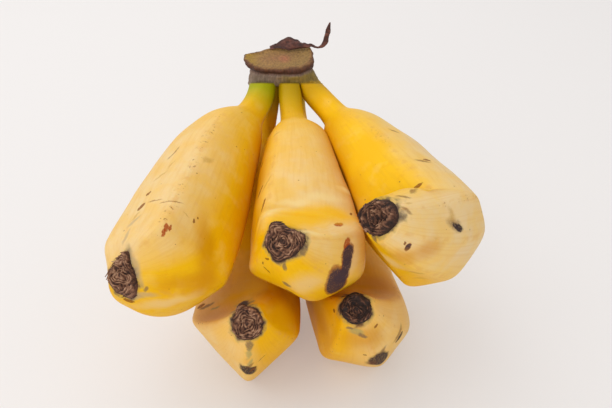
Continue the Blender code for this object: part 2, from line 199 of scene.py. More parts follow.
def smooth_profile(pairs, share):
    """Curve through (share, value) pairs that never swings past them."""
    xs = np.array([pair[0] for pair in pairs], float)
    ys = np.array([pair[1] for pair in pairs], float)
    slope = np.diff(ys) / np.diff(xs)
    tangent = np.zeros(len(xs))
    for i in range(1, len(xs) - 1):
        if slope[i - 1] * slope[i] > 0:
            tangent[i] = 2 * slope[i - 1] * slope[i] / (slope[i - 1] + slope[i])
    tangent[0] = slope[0]
    tangent[-1] = slope[-1]
    i = np.clip(np.searchsorted(xs, share, side="right") - 1, 0, len(xs) - 2)
    span = xs[i + 1] - xs[i]
    s = (share - xs[i]) / span
    return ((2 * s ** 3 - 3 * s ** 2 + 1) * ys[i] + (s ** 3 - 2 * s ** 2 + s) * span * tangent[i]
            + (-2 * s ** 3 + 3 * s ** 2) * ys[i + 1] + (s ** 3 - s ** 2) * span * tangent[i + 1])


def angles_between(ridges, around):
    """Angles round a section, with one on every ridge."""
    ridges = np.sort(np.asarray(ridges, float))
    gaps = np.diff(np.append(ridges, ridges[0] + 360))
    counts = np.maximum(3, np.round(gaps / 360 * around)).astype(int)
    counts[np.argmax(gaps)] += around - counts.sum()
    steps = [np.linspace(a, a + gap, n, endpoint=False) for a, gap, n in zip(ridges, gaps, counts)]
    return np.radians(np.concatenate(steps))


def ridged_section(theta, banana, softness):
    """Radius factor of a rounded polygon with its corners at the ridges."""
    angles = np.radians(banana["ridges"])
    corners = np.stack([np.cos(angles), np.sin(angles)], axis=1) * np.array(banana["reach"])[:, None]
    total = np.zeros_like(theta)
    for corner, following in zip(corners, np.roll(corners, -1, axis=0)):
        outward = np.array([following[1] - corner[1], corner[0] - following[0]])
        outward /= np.hypot(*outward)
        distance = outward @ corner
        reach = np.maximum(0, np.cos(theta) * outward[0] + np.sin(theta) * outward[1]) / distance
        total += reach ** softness
    return total ** (-1.0 / softness)


def ring(centre, direction, radius, theta):
    """Points round a centre, in the plane across a direction, starting at the top."""
    top = unit(UP - direction * (UP @ direction))
    side = np.cross(direction, top)
    return centre + np.outer(radius * np.cos(theta), top) + np.outer(radius * np.sin(theta), side)


def scar_reach(banana, theta):
    """How far the flower scar reaches from its middle, at angles from the top, turning left."""
    pairs = [(angle + turn, share) for turn in (-360, 0, 360) for angle, share in banana["outline"]]
    return smooth_profile(pairs, np.degrees(theta) % 360) * banana["scar_radius"]


def body_line(banana, share):
    """Middle line of a banana, and its radius: a thin stalk that swells into the body."""
    stalk, end = banana["stalk"]
    profile = [(0.0, stalk), (end * 0.75, stalk * 1.04), (end, stalk * 1.12)]
    profile += [(end + (1 - end) * place, radius * banana["girth"]) for place, radius in BODY_RADIUS]
    return curve_through(banana["spine"], share), smooth_profile(profile, share)


def balls_inside(banana):
    """Balls that fill a banana, which tell how near a point is to it."""
    centres, radius = body_line(banana, np.linspace(0, 1, BALLS_ALONG))
    share = np.linspace(0, 1, BALLS_END)[1:]
    to_scar = np.asarray(banana["scar"], float) - centres[-1]
    tip = centres[-1] + np.outer(share * END_REACH, to_scar)
    tip_radius = radius[-1] * (1 - END_TAPER * share)
    return np.concatenate([centres, tip]), np.concatenate([radius, tip_radius])


def nearness(points, balls):
    """How many radii away the nearest ball is, and which ball that is."""
    centres, radius = balls
    distance = np.linalg.norm(points[:, None] - centres[None], axis=2) / radius[None]
    nearest = distance.argmin(axis=1)
    return distance[np.arange(len(points)), nearest], nearest


def press(points, own, others, gap):
    """Bananas that touch flatten each other: pull points back to their own side."""
    nearest = nearness(points, own)[1]
    axis = own[0][nearest]
    margin = gap / own[1][nearest]

    def is_free(which, scale):
        moved = axis[which] + (points[which] - axis[which]) * scale[:, None]
        theirs = np.min([nearness(moved, other)[0] for other in others], axis=0)
        return nearness(moved, own)[0] + margin[which] <= theirs

    touched = np.where(~is_free(np.arange(len(points)), np.ones(len(points))))[0]
    low = np.full(len(touched), LEAST_KEPT)
    high = np.ones(len(touched))
    for _ in range(HALVINGS):
        middle = (low + high) / 2
        free = is_free(touched, middle)
        low = np.where(free, middle, low)
        high = np.where(free, high, middle)
    pressed = points.copy()
    pressed[touched] = axis[touched] + (points[touched] - axis[touched]) * low[:, None]
    return pressed


def end_stalk(points, direction):
    """How far each point of a ring is, along a direction, from its place in the crown's underside."""
    underside = UNDERSIDE_HEIGHT + UNDERSIDE_SLOPE * (points[:, 1] - CROWN_FRONT)
    return (underside + STALK_SINK - points[:, 2]) / (direction[2] - UNDERSIDE_SLOPE * direction[1])


def banana_surface(banana, around, along, end_rings):
    """Rings of points from the stalk's end to the scar, and each ring's distance along."""
    theta = angles_between(banana["ridges"], around)
    body_section = ridged_section(theta, banana, BODY_SOFTNESS)
    end_section = ridged_section(theta, banana, END_SOFTNESS)
    fine = np.linspace(0, 1, FINE_STEPS)
    line = curve_through(banana["spine"], fine)
    above = line[:, 2] - UNDERSIDE_HEIGHT - UNDERSIDE_SLOPE * (line[:, 1] - CROWN_FRONT) - STALK_SINK
    start = fine[np.argmax(above < 0)]
    share = start + (1 - start) * np.linspace(0, 1, along)
    centres, radius = body_line(banana, share)
    directions = np.gradient(centres, axis=0)
    lengths = np.concatenate([[0], np.cumsum(np.linalg.norm(np.diff(centres, axis=0), axis=1))])
    rings = []
    for i in range(along):
        keen = np.interp(share[i], [p[0] for p in RIDGED], [p[1] for p in RIDGED])
        sharper = max(0.0, share[i] * 2 - 1)
        section = body_section * (1 - sharper) + end_section * sharper
        points = ring(centres[i], unit(directions[i]), (1 - keen + keen * section) * radius[i], theta)
        slant = max(0.0, 1 - lengths[i] / SLANT_LENGTH)
        if slant > 0:
            away = unit(directions[i])
            points = points + np.outer(end_stalk(points - away * lengths[i], away) * slant, away)
        # the fold, where the slanted end begins
        before_end = lengths[-1] - lengths[i]
        fold = sum(
            height * math.exp(-((before_end - place) / width) ** 2) for height, place, width in FOLD)
        on_top = np.clip(np.cos(theta), 0, 1)[:, None] * banana["fold"] * fold
        points = points + on_top * (points - centres[i]) / radius[i]
        rings.append(points)
    end = centres[-1]
    axis = unit(directions[-1])
    facing = unit(banana["facing"])
    to_scar = np.asarray(banana["scar"], float) - end
    reach = to_scar @ axis
    sideways = to_scar - reach * axis
    last = banana["scar_radius"] + SCAR_LEDGE
    places = list(lengths)
    for s in np.linspace(0, 1, end_rings + 1)[1:]:
        rise = math.sin(s * math.pi / 2) ** END_FLATNESS
        closing = 1 - max(0.0, math.cos(s * math.pi / 2)) ** END_FLATNESS
        keen = END_KEENNESS + KEENNESS_CHANGE * math.sin(math.pi * s) - KEENNESS_CHANGE * s
        size = (1 - keen + keen * end_section) * (radius[-1] + (last - radius[-1]) * closing)
        turned = unit(axis * (1 - closing) + facing * closing)
        rings.append(ring(end + axis * reach * rise + sideways * closing, turned, size, theta))
        places.append(lengths[-1] + s * END_LENGTH)
    return theta, rings, np.array(places)


def add_noise(points, size, height, seed):
    """Pushes points in and out of the surface by smooth noise of a given size."""
    centre = points.mean(axis=0)
    outward = points - centre
    outward /= np.maximum(np.linalg.norm(outward, axis=1), 1e-6)[:, None]
    seeded = Vector((seed, seed * SEED_SKEW, -seed))
    shift = [noise.noise(Vector(point / size) + seeded) for point in points]
    return points + outward * (np.array(shift) * height)[:, None]


def skin_over(name, rings, first_pole, last_pole, material):
    """One closed mesh over rings of equal count, with a point at each end."""
    points = (np.concatenate(list(rings) + [[first_pole], [last_pole]]) - MIDDLE) * MM
    around = len(rings[0])
    count = len(rings)
    faces = []
    for i in range(count - 1):
        for j in range(around):
            a = i * around + j
            b = i * around + (j + 1) % around
            faces.append((a, b, b + around, a + around))
    first = count * around
    last = first + 1
    top = (count - 1) * around
    for j in range(around):
        following = (j + 1) % around
        faces.append((first, following, j))
        faces.append((last, top + j, top + following))
    data = bpy.data.meshes.new(name)
    data.from_pydata(points.tolist(), [], faces)
    mesh = bmesh.new()
    mesh.from_mesh(data)
    bmesh.ops.recalc_face_normals(mesh, faces=mesh.faces[:])
    mesh.to_mesh(data)
    mesh.free()
    data.materials.append(material)
    data.shade_smooth()
    piece = bpy.data.objects.new(name, data)
    bpy.context.scene.collection.objects.link(piece)
    return piece


def give_value(piece, name, values):
    """Stores one number at each point of a piece, for its material to read."""
    layer = piece.data.attributes.new(name, "FLOAT", "POINT")
    layer.data.foreach_set("value", np.asarray(values, np.float32))


def linear(hex_colour):
    """An sRGB hex colour as linear red, green and blue."""
    channels = [int(hex_colour[i:i + 2], 16) / 255 for i in (1, 3, 5)]
    return [c / 12.92 if c <= 0.04045 else ((c + 0.055) / 1.055) ** 2.4 for c in channels]


def colour(hex_colour):
    """The same with full opacity, as shader sockets take it."""
    return (*linear(hex_colour), 1.0)


def add_node(tree, kind, settings=None, inputs=None, output=0):
    """Adds a node with its settings, sets or links its inputs, and gives one of its outputs."""
    made = tree.nodes.new(kind)
    for key, value in (settings or {}).items():
        setattr(made, key, value)
    for key, value in (inputs or {}).items():
        if isinstance(value, bpy.types.NodeSocket):
            tree.links.new(value, made.inputs[key])
        else:
            made.inputs[key].default_value = value
    return made.outputs[output] if made.outputs else None


# settings that many nodes share
SMOOTH = {"interpolation_type": "SMOOTHSTEP"}
TINTED = {"data_type": "RGBA"}
MULTIPLY = {"operation": "MULTIPLY"}
MULTIPLY_ADD = {"operation": "MULTIPLY_ADD"}
SUBTRACT = {"operation": "SUBTRACT"}
# a noise's scale is this over its size in millimetres
PER_METRE = 1000.0


def start_material(name, values):
    """A new material, its node tree and its shader, with the shader's plain values set."""
    material = bpy.data.materials.new(name)
    material.use_nodes = True
    shader = material.node_tree.nodes["Principled BSDF"]
    for key, value in values.items():
        shader.inputs[key].default_value = value
    return material, material.node_tree, shader


def tint_where(tree, tone, tint, value, low, high, start, end, masks=()):
    """Lays a tint over a tone. Its strength runs from start to end as the value goes from
    low to high, and each mask weakens it."""
    amount = add_node(tree, "ShaderNodeMapRange", SMOOTH, {
        "Value": value, "From Min": low, "From Max": high, "To Min": start, "To Max": end})
    for mask in masks:
        amount = add_node(tree, "ShaderNodeMath", MULTIPLY, {0: amount, 1: mask})
    return add_node(tree, "ShaderNodeMix", TINTED, {0: amount, 6: tone, 7: colour(tint)}, 2)


# Marks on the skin, each placed by a point of the photograph and laid on the
# banana that the point shows: x, y, long and short half size in millimetres, turn
# in degrees from level, kind. Dropping and rubbing bruise ripe peel dark brown.
# Some wide kinds are painted highlight, sheen and shade rather than marks in the skin.
MARKS = {
    "left": (
        (206, 252, 24.0, 7.0, 82, "painted_shade"), (204, 284, 12.0, 8.0, 30, "painted_shade"),
        (166, 303, 20.0, 5.0, 3, "pale"), (135, 266, 12.0, 2.4, 113, "grey"),
        (143, 296, 8.0, 2.0, 8, "grey"), (126, 236, 5.0, 1.0, 95, "grey"),
        (134, 221, 5.0, 1.4, 60, "grey"), (166, 227, 2.0, 1.0, 78, "rust"),
        (163.5, 233, 1.9, 0.9, 82, "rust"), (170, 228, 1.6, 0.8, 60, "rust"),
        (155, 200.5, 4.4, 0.42, -14, "scratch"), (168, 201.5, 4.4, 0.34, -2, "scratch"),
        (178, 202, 3.0, 0.3, -4, "scratch"), (141, 207, 2.4, 1.1, 60, "scuff"),
        (148.5, 193.5, 1.5, 0.8, 60, "scuff"), (135, 217, 3.4, 0.9, 62, "faint"),
        (174, 153, 5.0, 0.7, 80, "smudge"), (172, 164, 4.0, 0.6, 85, "faint"),
        (160, 176, 5.0, 0.8, 60, "faint"), (208, 160, 3.4, 2.2, 30, "faint"),
        (194, 221, 1.2, 0.6, 60, "scuff"), (198, 218, 0.7, 0.4, 60, "scuff"),
        (186, 214, 2.4, 0.4, -40, "faint"), (129, 301, 2.6, 0.9, -12, "scuff"),
        (146, 289, 1.8, 1.2, 60, "stain"), (180, 282, 16.0, 6.0, 6, "painted_shade")),
    "centre": (
        (260, 192, 3.6, 1.1, 95, "scuff"), (262, 165, 1.8, 0.6, 95, "scuff"),
        (266, 184, 6.5, 0.9, 100, "faint"), (263, 206, 4.0, 0.8, 100, "scuff"),
        (276, 134, 2.8, 1.2, 60, "faint"), (306, 285, 12.0, 9.0, 0, "pale"),
        (346, 222, 7.0, 8.0, 60, "pale"), (352, 262, 9.0, 6.0, 80, "pale"),
        (347, 244, 3.0, 1.8, 80, "rust"), (348, 255, 5.4, 3.6, 86, "bruise"),
        (346.5, 266, 5.0, 3.2, 76, "bruise"), (342, 277, 4.6, 4.4, 60, "bruise"),
        (336.5, 284, 5.4, 12.0, 0, "bruise"), (338.5, 224.5, 2.4, 1.2, 25, "rust"),
        (276, 212, 10.0, 3.2, 24, "painted_highlight"), (298, 203, 12.0, 3.6, 10, "painted_highlight"),
        (325, 197, 14.0, 3.6, 8, "painted_highlight"), (347, 191, 8.0, 2.6, 14, "painted_highlight"),
        (285, 222, 12.0, 8.0, 10, "golden"), (305, 217, 16.0, 9.0, 8, "golden"),
        (332, 213, 15.0, 8.0, 8, "golden"), (308, 232, 8.0, 2.0, 20, "painted_highlight"),
        (267, 259, 1.3, 0.6, 20, "scuff"), (267, 270, 2.2, 0.5, 130, "scuff"),
        (263, 263, 1.1, 0.5, 60, "scuff"), (351, 214, 1.1, 0.7, 60, "scuff"),
        (287, 285, 2.6, 2.2, 100, "stain"), (289, 291, 3.2, 3.0, 80, "smudge"),
        (292, 297, 2.4, 3.4, 70, "stain"), (303, 251, 2.6, 1.6, 60, "stain"),
        (284, 267, 2.2, 1.2, 90, "stain")),
    "right": (
        (423, 161, 4.6, 1.5, 12, "smudge"), (427, 160, 2.0, 1.0, 20, "scuff"),
        (417, 187, 3.4, 0.9, 45, "scuff"), (413, 191, 2.8, 1.4, 50, "smudge"),
        (404, 197, 4.2, 1.0, 12, "smudge"), (409, 203, 2.0, 0.7, 0, "faint"),
        (455, 225, 6.6, 3.0, -18, "smudge"), (458, 227, 4.2, 1.6, -18, "blot"),
        (452, 215, 4.6, 2.4, -50, "faint"), (408, 247, 2.2, 1.3, 78, "bruise"),
        (405, 243, 1.2, 0.6, 100, "scuff"), (374, 239, 2.6, 1.1, -40, "stain"),
        (417, 273, 4.2, 2.0, -10, "faint"), (421, 278, 3.6, 1.1, -15, "faint"),
        (394, 131, 3.4, 1.0, -35, "smudge"), (400, 216, 3.0, 1.8, 60, "stain"),
        (407, 210, 3.4, 1.2, -30, "smudge"), (366, 152, 16.0, 10.0, 60, "golden"),
        (391, 229, 2.6, 1.2, 50, "stain"), (392, 262, 12.0, 5.0, -50, "pale"),
        (404, 258, 9.0, 6.0, -30, "painted_shade"), (428, 250, 9.0, 7.0, 0, "painted_shade")),
    "lower_left": (
        (284, 315, 9.0, 14.0, 80, "golden"), (262, 284, 16.0, 9.0, 0, "golden"),
        (207, 306, 5.0, 1.7, -3, "stain"), (201, 306, 2.2, 1.8, 0, "scuff"),
        (215, 308, 3.0, 1.2, 0, "green"), (250, 346, 3.0, 1.8, 90, "stain"),
        (249, 354, 4.2, 1.6, 90, "green"), (250, 363, 3.2, 1.3, 90, "green"),
        (249, 371, 3.6, 6.0, 50, "blot"), (250, 366, 3.0, 1.6, 70, "smudge"),
        (253, 369, 2.2, 0.9, 60, "scuff"), (262, 358, 3.0, 0.45, 52, "scratch")),
    "lower_right": (
        (365, 340, 20.0, 11.0, 0, "painted_shade"), (322, 322, 10.0, 12.0, 80, "painted_shade"),
        (375, 285, 14.0, 12.0, 0, "painted_shade"), (380, 360, 5.6, 9.0, 35, "blot"),
        (371, 363, 3.6, 5.0, 10, "smudge"), (383, 350, 2.6, 1.6, 85, "smudge"),
        (399, 334, 6.0, 2.0, 80, "smudge"), (399.5, 337, 3.6, 1.4, 80, "blot"),
        (356, 332, 4.4, 2.2, -10, "green"), (363, 336, 2.6, 1.4, -30, "stain"),
        (349, 328, 2.2, 1.2, 0, "stain"), (334, 311, 1.2, 1.0, 0, "scuff"),
        (365, 355, 1.0, 0.7, 0, "scuff"), (376, 326, 1.2, 0.8, 60, "scuff")),
}
# What each kind of mark does: its colour, its strength, the softness of its edge, and
# the grade of the waves that bend its outline. Wide ones stay whole and glossy: the
# pale cream ones are painted highlight along the fold and painted sheen, the deep
# orange ones painted shade, the plain yellow ones lay the skin's own yellow back over
# painted sheen and shade, and the grey ones are a tint of the skin. The others are
# broken up and duller.
MARK_LOOKS = {
    "scuff": ("#7E4413", 0.85, 0.35, "fine"), "rust": ("#A3420E", 0.9, 0.35, "fine"),
    "scratch": ("#8F5A26", 0.65, 0.6, "fine"), "bruise": ("#453236", 0.97, 0.22, "fine"),
    "bruise rim": ("#93471F", 0.75, 0.16, "fine"), "blot": ("#30232A", 0.95, 0.4, "broad"),
    "stain": ("#665648", 0.72, 0.7, "broad"), "faint": ("#B98C3C", 0.5, 0.9, "broad"),
    "green": ("#96935E", 0.62, 0.8, "broad"), "smudge": ("#6B4024", 0.62, 0.9, "broad"),
    "painted_highlight": ("#EACD8C", 0.7, 1.1, "wide"), "golden": ("#EDB400", 0.9, 1.0, "wide"),
    "pale": ("#E2C088", 0.6, 1.1, "wide"), "painted_shade": ("#C98400", 0.6, 1.1, "wide"),
    "grey": ("#B39A78", 0.6, 0.9, "wide")}
# the waves of each grade: their size, and how far they move an outline, in millimetres
WAVES = {"fine": (1.3, 1.3), "broad": (3.2, 2.6), "wide": (8.0, 5.0)}
# how far from the skin's surface a mark still colours it, in millimetres
MARK_DEPTH = 7.0
# how much smaller a bruise's dark middle is than its rim
BRUISE_INSET = 0.12
# Peel of each banana: its yellow, its stalk's colour, how far down that goes in
# millimetres, and the side that gets painted sheen, in degrees from the top, and how strong it is
PEELS = {
    "left": ("#E9B200", "#9F9E00", 17.0, 40, 0.85), "centre": ("#E9B200", "#B08E00", 24.0, 330, 0.75),
    "right": ("#EDB800", "#C49600", 12.0, 285, 0.95),
    "lower_left": ("#E9AE00", "#A89000", 14.0, 120, 0.6),
    "lower_right": ("#E9AE00", "#A89000", 14.0, 245, 0.6)}
# the noises in the skin: size in millimetres and detail
SKIN_NOISES = {26.0: 2.0, 8.0: 4.0, 3.2: 3.0, 1.3: 4.0, 0.6: 3.0}
# broad tones in the skin: size of the noise, its range, strength, colour
SKIN_TONES = (
    (26.0, 0.40, 0.70, 0.6, "#E8AC00"), (8.0, 0.50, 0.72, 0.22, "#EFCE78"),
    (3.2, 0.56, 0.70, 0.16, "#D98A08"))
# fibres under the skin: their spacing in millimetres, and how much they are drawn out
FIBRE_SPACING = 1.3
FIBRE_STRETCH = 0.09
# a point about the middle of the hand, in millimetres from the camera
HAND_DISTANCE = 270


def photo_ray(x, y):
    """Start and direction, in millimetres, of the sight line through a point of the photograph."""
    across = (x - PHOTO_WIDTH / 2) / FOCAL_PIXELS
    upward = (PHOTO_HEIGHT / 2 - y) / FOCAL_PIXELS
    ahead = np.array([0.0, math.cos(CAMERA_DROP), -math.sin(CAMERA_DROP)])
    raised = np.array([0.0, math.sin(CAMERA_DROP), math.cos(CAMERA_DROP)])
    return CAMERA_PLACE, unit(ahead + across * np.array([1.0, 0, 0]) + upward * raised)


def place_on(surface, x, y, turn):
    """Where a photograph point falls on a surface, and the turned frame of a mark there."""
    start, direction = photo_ray(x, y)
    hit, normal, _, _ = surface.ray_cast(Vector(start), Vector(direction))
    if hit is None:
        hit, normal, _, _ = surface.find_nearest(Vector(start + direction * HAND_DISTANCE))
    normal = np.array(normal)
    level = np.array([math.cos(math.radians(turn)), 0.0, 0.0])
    raised = np.array([0.0, math.sin(CAMERA_DROP), math.cos(CAMERA_DROP)]) * math.sin(math.radians(turn))
    along = level + raised
    along = unit(along - normal * (along @ normal))
    turned = Matrix((along, np.cross(normal, along), normal)).transposed()
    return Vector((np.array(hit) - MIDDLE) * MM), turned.to_euler()


def peel_material(name, surface):
    """Ripe banana peel: a waxy, slightly translucent yellow skin. It is greener at
    the stalk, with freckles and bruises. Painted sheen makes it paler on the side
    turned to the lights, and painted shade makes it deeper orange where the bananas
    lie close together."""
    skin, stalk, stalk_reach, _, _ = PEELS[name]
    material, tree, shader = start_material("ripe banana peel " + name.replace("_", " "), {
        "IOR": 1.40, "Specular IOR Level": 0.18, "Subsurface Weight": 0.08,
        "Subsurface Radius": (1.0, 0.5, 0.08), "Subsurface Scale": 0.002})
    place = add_node(tree, "ShaderNodeTexCoord", output="Object")
    uv = add_node(tree, "ShaderNodeUVMap", {"uv_map": "peel"})
    along, ridge, to_end, pale, gap_shade = (
        add_node(tree, "ShaderNodeAttribute", {"attribute_name": value}, output="Fac")
        for value in ("along", "ridge", "to_end", "pale", "gap_shade"))

    # yellow, with broad tones
    noises = {}
    for size, detail in SKIN_NOISES.items():
        noises[size] = add_node(tree, "ShaderNodeTexNoise", None, {
            "Vector": place, "Scale": PER_METRE / size, "Detail": detail})
    tone = colour(skin)
    for size, low, high, strength, tint in SKIN_TONES:
        tone = tint_where(tree, tone, tint, noises[size], low, high, 0.0, strength)

    # painted sheen: the side turned to the lights made pale, broken up by its own clouds
    tone = tint_where(tree, tone, "#E4C692", noises[8.0], 0.30, 0.65, 0.62, 1.0, [pale])

    # painted shade: deeper orange where the next banana lies close, for the shade and bounced light
    # between them
    amount = add_node(tree, "ShaderNodeMath", MULTIPLY, {0: gap_shade, 1: 0.6})
    tone = add_node(tree, "ShaderNodeMix", TINTED, {0: amount, 6: tone, 7: colour("#CC8200")}, 2)

    # fine lengthwise fibres under the skin
    lengthwise = add_node(tree, "ShaderNodeMapping", None, {
        "Vector": uv, "Scale": (1.0, FIBRE_STRETCH, 1.0)})
    fibre = add_node(tree, "ShaderNodeTexNoise", None, {
        "Vector": lengthwise, "Scale": PER_METRE / FIBRE_SPACING, "Detail": 2.0})
    tone = tint_where(tree, tone, "#D0901C", fibre, 0.45, 0.68, 0.0, 0.14)

    # stalk colour, then a dark edge where the stalk goes into the crown
    for near, far, strength, tint in ((4.0, stalk_reach + 8.0, 1.0, stalk), (0.3, 1.6, 0.5, "#6E5A1E")):
        tone = tint_where(tree, tone, tint, along, near, far, strength, 0.0)

    # ridges rubbed tan all along, with brown flecks in a few places
    seldom = add_node(tree, "ShaderNodeMapRange", SMOOTH, {
        "Value": noises[26.0], "From Min": 0.5, "From Max": 0.6})
    tone = tint_where(tree, tone, "#D9A04C", noises[3.2], 0.46, 0.62, 0.0, 0.38, [ridge])
    tone = tint_where(tree, tone, "#8A5220", noises[1.3], 0.60, 0.68, 0.0, 0.75, [seldom, ridge])

    # freckles: one dot in a few of many small cells
    for spacing, radius, rarity in ((3.0, 0.10, 0.80), (6.5, 0.075, 0.72)):
        cells = add_node(tree, "ShaderNodeTexVoronoi", None, {
            "Vector": place, "Scale": PER_METRE / spacing})
        chance = add_node(tree, "ShaderNodeSeparateColor", None, {"Color": cells.node.outputs["Color"]})
        chosen = add_node(tree, "ShaderNodeMath", {"operation": "GREATER_THAN"}, {0: chance, 1: rarity})
        tone = tint_where(tree, tone, "#7E4A1C", cells, radius * 0.4, radius, 0.6, 0.0, [chosen])

    # coordinates bent by noise, so that marks have uneven edges
    bent = {}
    for grade, (size, wave) in WAVES.items():
        shift = add_node(tree, "ShaderNodeVectorMath", SUBTRACT, {
            0: noises[size].node.outputs["Color"], 1: (0.5, 0.5, 0.5)})
        bent[grade] = add_node(tree, "ShaderNodeVectorMath", MULTIPLY_ADD, {
            0: shift, 1: (wave * MM, wave * MM, wave * MM), 2: place})
    broken = add_node(tree, "ShaderNodeMapRange", SMOOTH, {
        "Value": noises[0.6], "From Min": 0.30, "From Max": 0.50, "To Min": 0.7, "To Max": 1.0})

    # the peel round the flower scar: tan in places, then a dark seam
    uneven = add_node(tree, "ShaderNodeMath", MULTIPLY_ADD, {0: noises[3.2], 1: 5.0, 2: to_end})
    for low, high, strength, tint in (
            (2.9, 4.4, 0.55, "#A08A52"), (2.3, 3.3, 0.85, "#5E4940"), (1.8, 2.5, 0.95, "#35231F")):
        tone = tint_where(tree, tone, tint, uneven, low, high, strength, 0.0)

    # the marks, some of them painted highlight, sheen and shade, each in its own flat
    # ellipsoid; the rims of bruises lie under all of them
    wear = add_node(tree, "ShaderNodeMath", MULTIPLY, {0: ridge, 1: 0.1})
    rims = [mark[:5] + ("bruise rim",) for mark in MARKS[name] if mark[5] == "bruise"]
    for x, y, long, short, turn, kind in rims + list(MARKS[name]):
        tint, strength, softness, grade = MARK_LOOKS[kind]
        centre, turned = place_on(surface, x, y, turn)
        inside = add_node(tree, "ShaderNodeMapping", {"vector_type": "TEXTURE"}, {
            "Vector": bent[grade], "Location": centre, "Rotation": turned,
            "Scale": (long * MM, short * MM, MARK_DEPTH * MM)})
        depth = add_node(tree, "ShaderNodeTexGradient", {"gradient_type": "SPHERICAL"}, {
            "Vector": inside}, "Fac")
        if kind == "bruise":
            depth = add_node(tree, "ShaderNodeMath", SUBTRACT, {0: depth, 1: BRUISE_INSET})
        amount = add_node(tree, "ShaderNodeMapRange", SMOOTH, {
            "Value": depth, "From Min": 0.02, "From Max": 0.04 + softness * 0.75, "To Max": strength})
        if grade != "wide":
            amount = add_node(tree, "ShaderNodeMath", MULTIPLY, {0: amount, 1: broken})
            wear = add_node(tree, "ShaderNodeMath", {"operation": "MAXIMUM"}, {0: wear, 1: amount})
        tone = add_node(tree, "ShaderNodeMix", TINTED, {0: amount, 6: tone, 7: colour(tint)}, 2)
    tree.links.new(tone, shader.inputs["Base Color"])

    # waxy skin, duller and a little sunken where it is marked
    shine = add_node(tree, "ShaderNodeMapRange", None, {
        "Value": noises[8.0], "From Min": 0.3, "From Max": 0.7, "To Min": 0.40, "To Max": 0.52})
    dulled = add_node(tree, "ShaderNodeMath", MULTIPLY_ADD, {0: wear, 1: 0.28, 2: shine})
    tree.links.new(dulled, shader.inputs["Roughness"])
    relief = add_node(tree, "ShaderNodeMath", MULTIPLY_ADD, {0: noises[1.3], 1: 0.8, 2: fibre})
    relief = add_node(tree, "ShaderNodeMath", SUBTRACT, {0: relief, 1: wear})
    bumped = add_node(tree, "ShaderNodeBump", None, {
        "Height": relief, "Strength": 0.4, "Distance": 0.00016})
    tree.links.new(bumped, shader.inputs["Normal"])
    return material


# the gap between two bananas that are pressed together
PRESSED_GAP = 0.45
# low lumps on each body: their size and height, and the first banana's seed
LUMP_SIZE = 16.0
LUMP_HEIGHT = 0.7
LUMP_SEED = 5.0
# how often, and how far, each point moves towards its neighbours
SOFTENING_PASSES = 10
SOFTENING = 0.6
# half width of the strip along a ridge that is rubbed
RIDGE_WIDTH = 1.6
# how near to the next banana, in its radii, the painted shade begins, and over
# how much of that distance it grows
SHADE_NEAR = 1.45
SHADE_FADE = 0.4
# how far the painted sheen on the pale side reaches round the banana
SHEEN_SPREAD = 1.15
SHEEN_SHIFT = 0.15
# the skin counts as round the scar to this depth behind it, from this far before the
# end of the body on
SEAM_DEPTH = 14
SEAM_MARGIN = 2
# distances from the scar that stand for far away and for right under it
FAR_FROM_SCAR = 30.0
UNDER_SCAR = -5.0
# radius, in metres, at which the peel's flat map is true to size
MAP_RADIUS = 0.02
# where along the banana each trait sets in, and the length over which it grows
SETS_IN = {"lumps": (0, 20), "ridge": (25, 20), "pale": (20, 45), "gap_shade": (12, 12)}


def grown(trait, places):
    """How far a trait has set in at places along a banana, from 0 to 1."""
    start, length = SETS_IN[trait]
    return np.clip((places - start) / length, 0, 1)


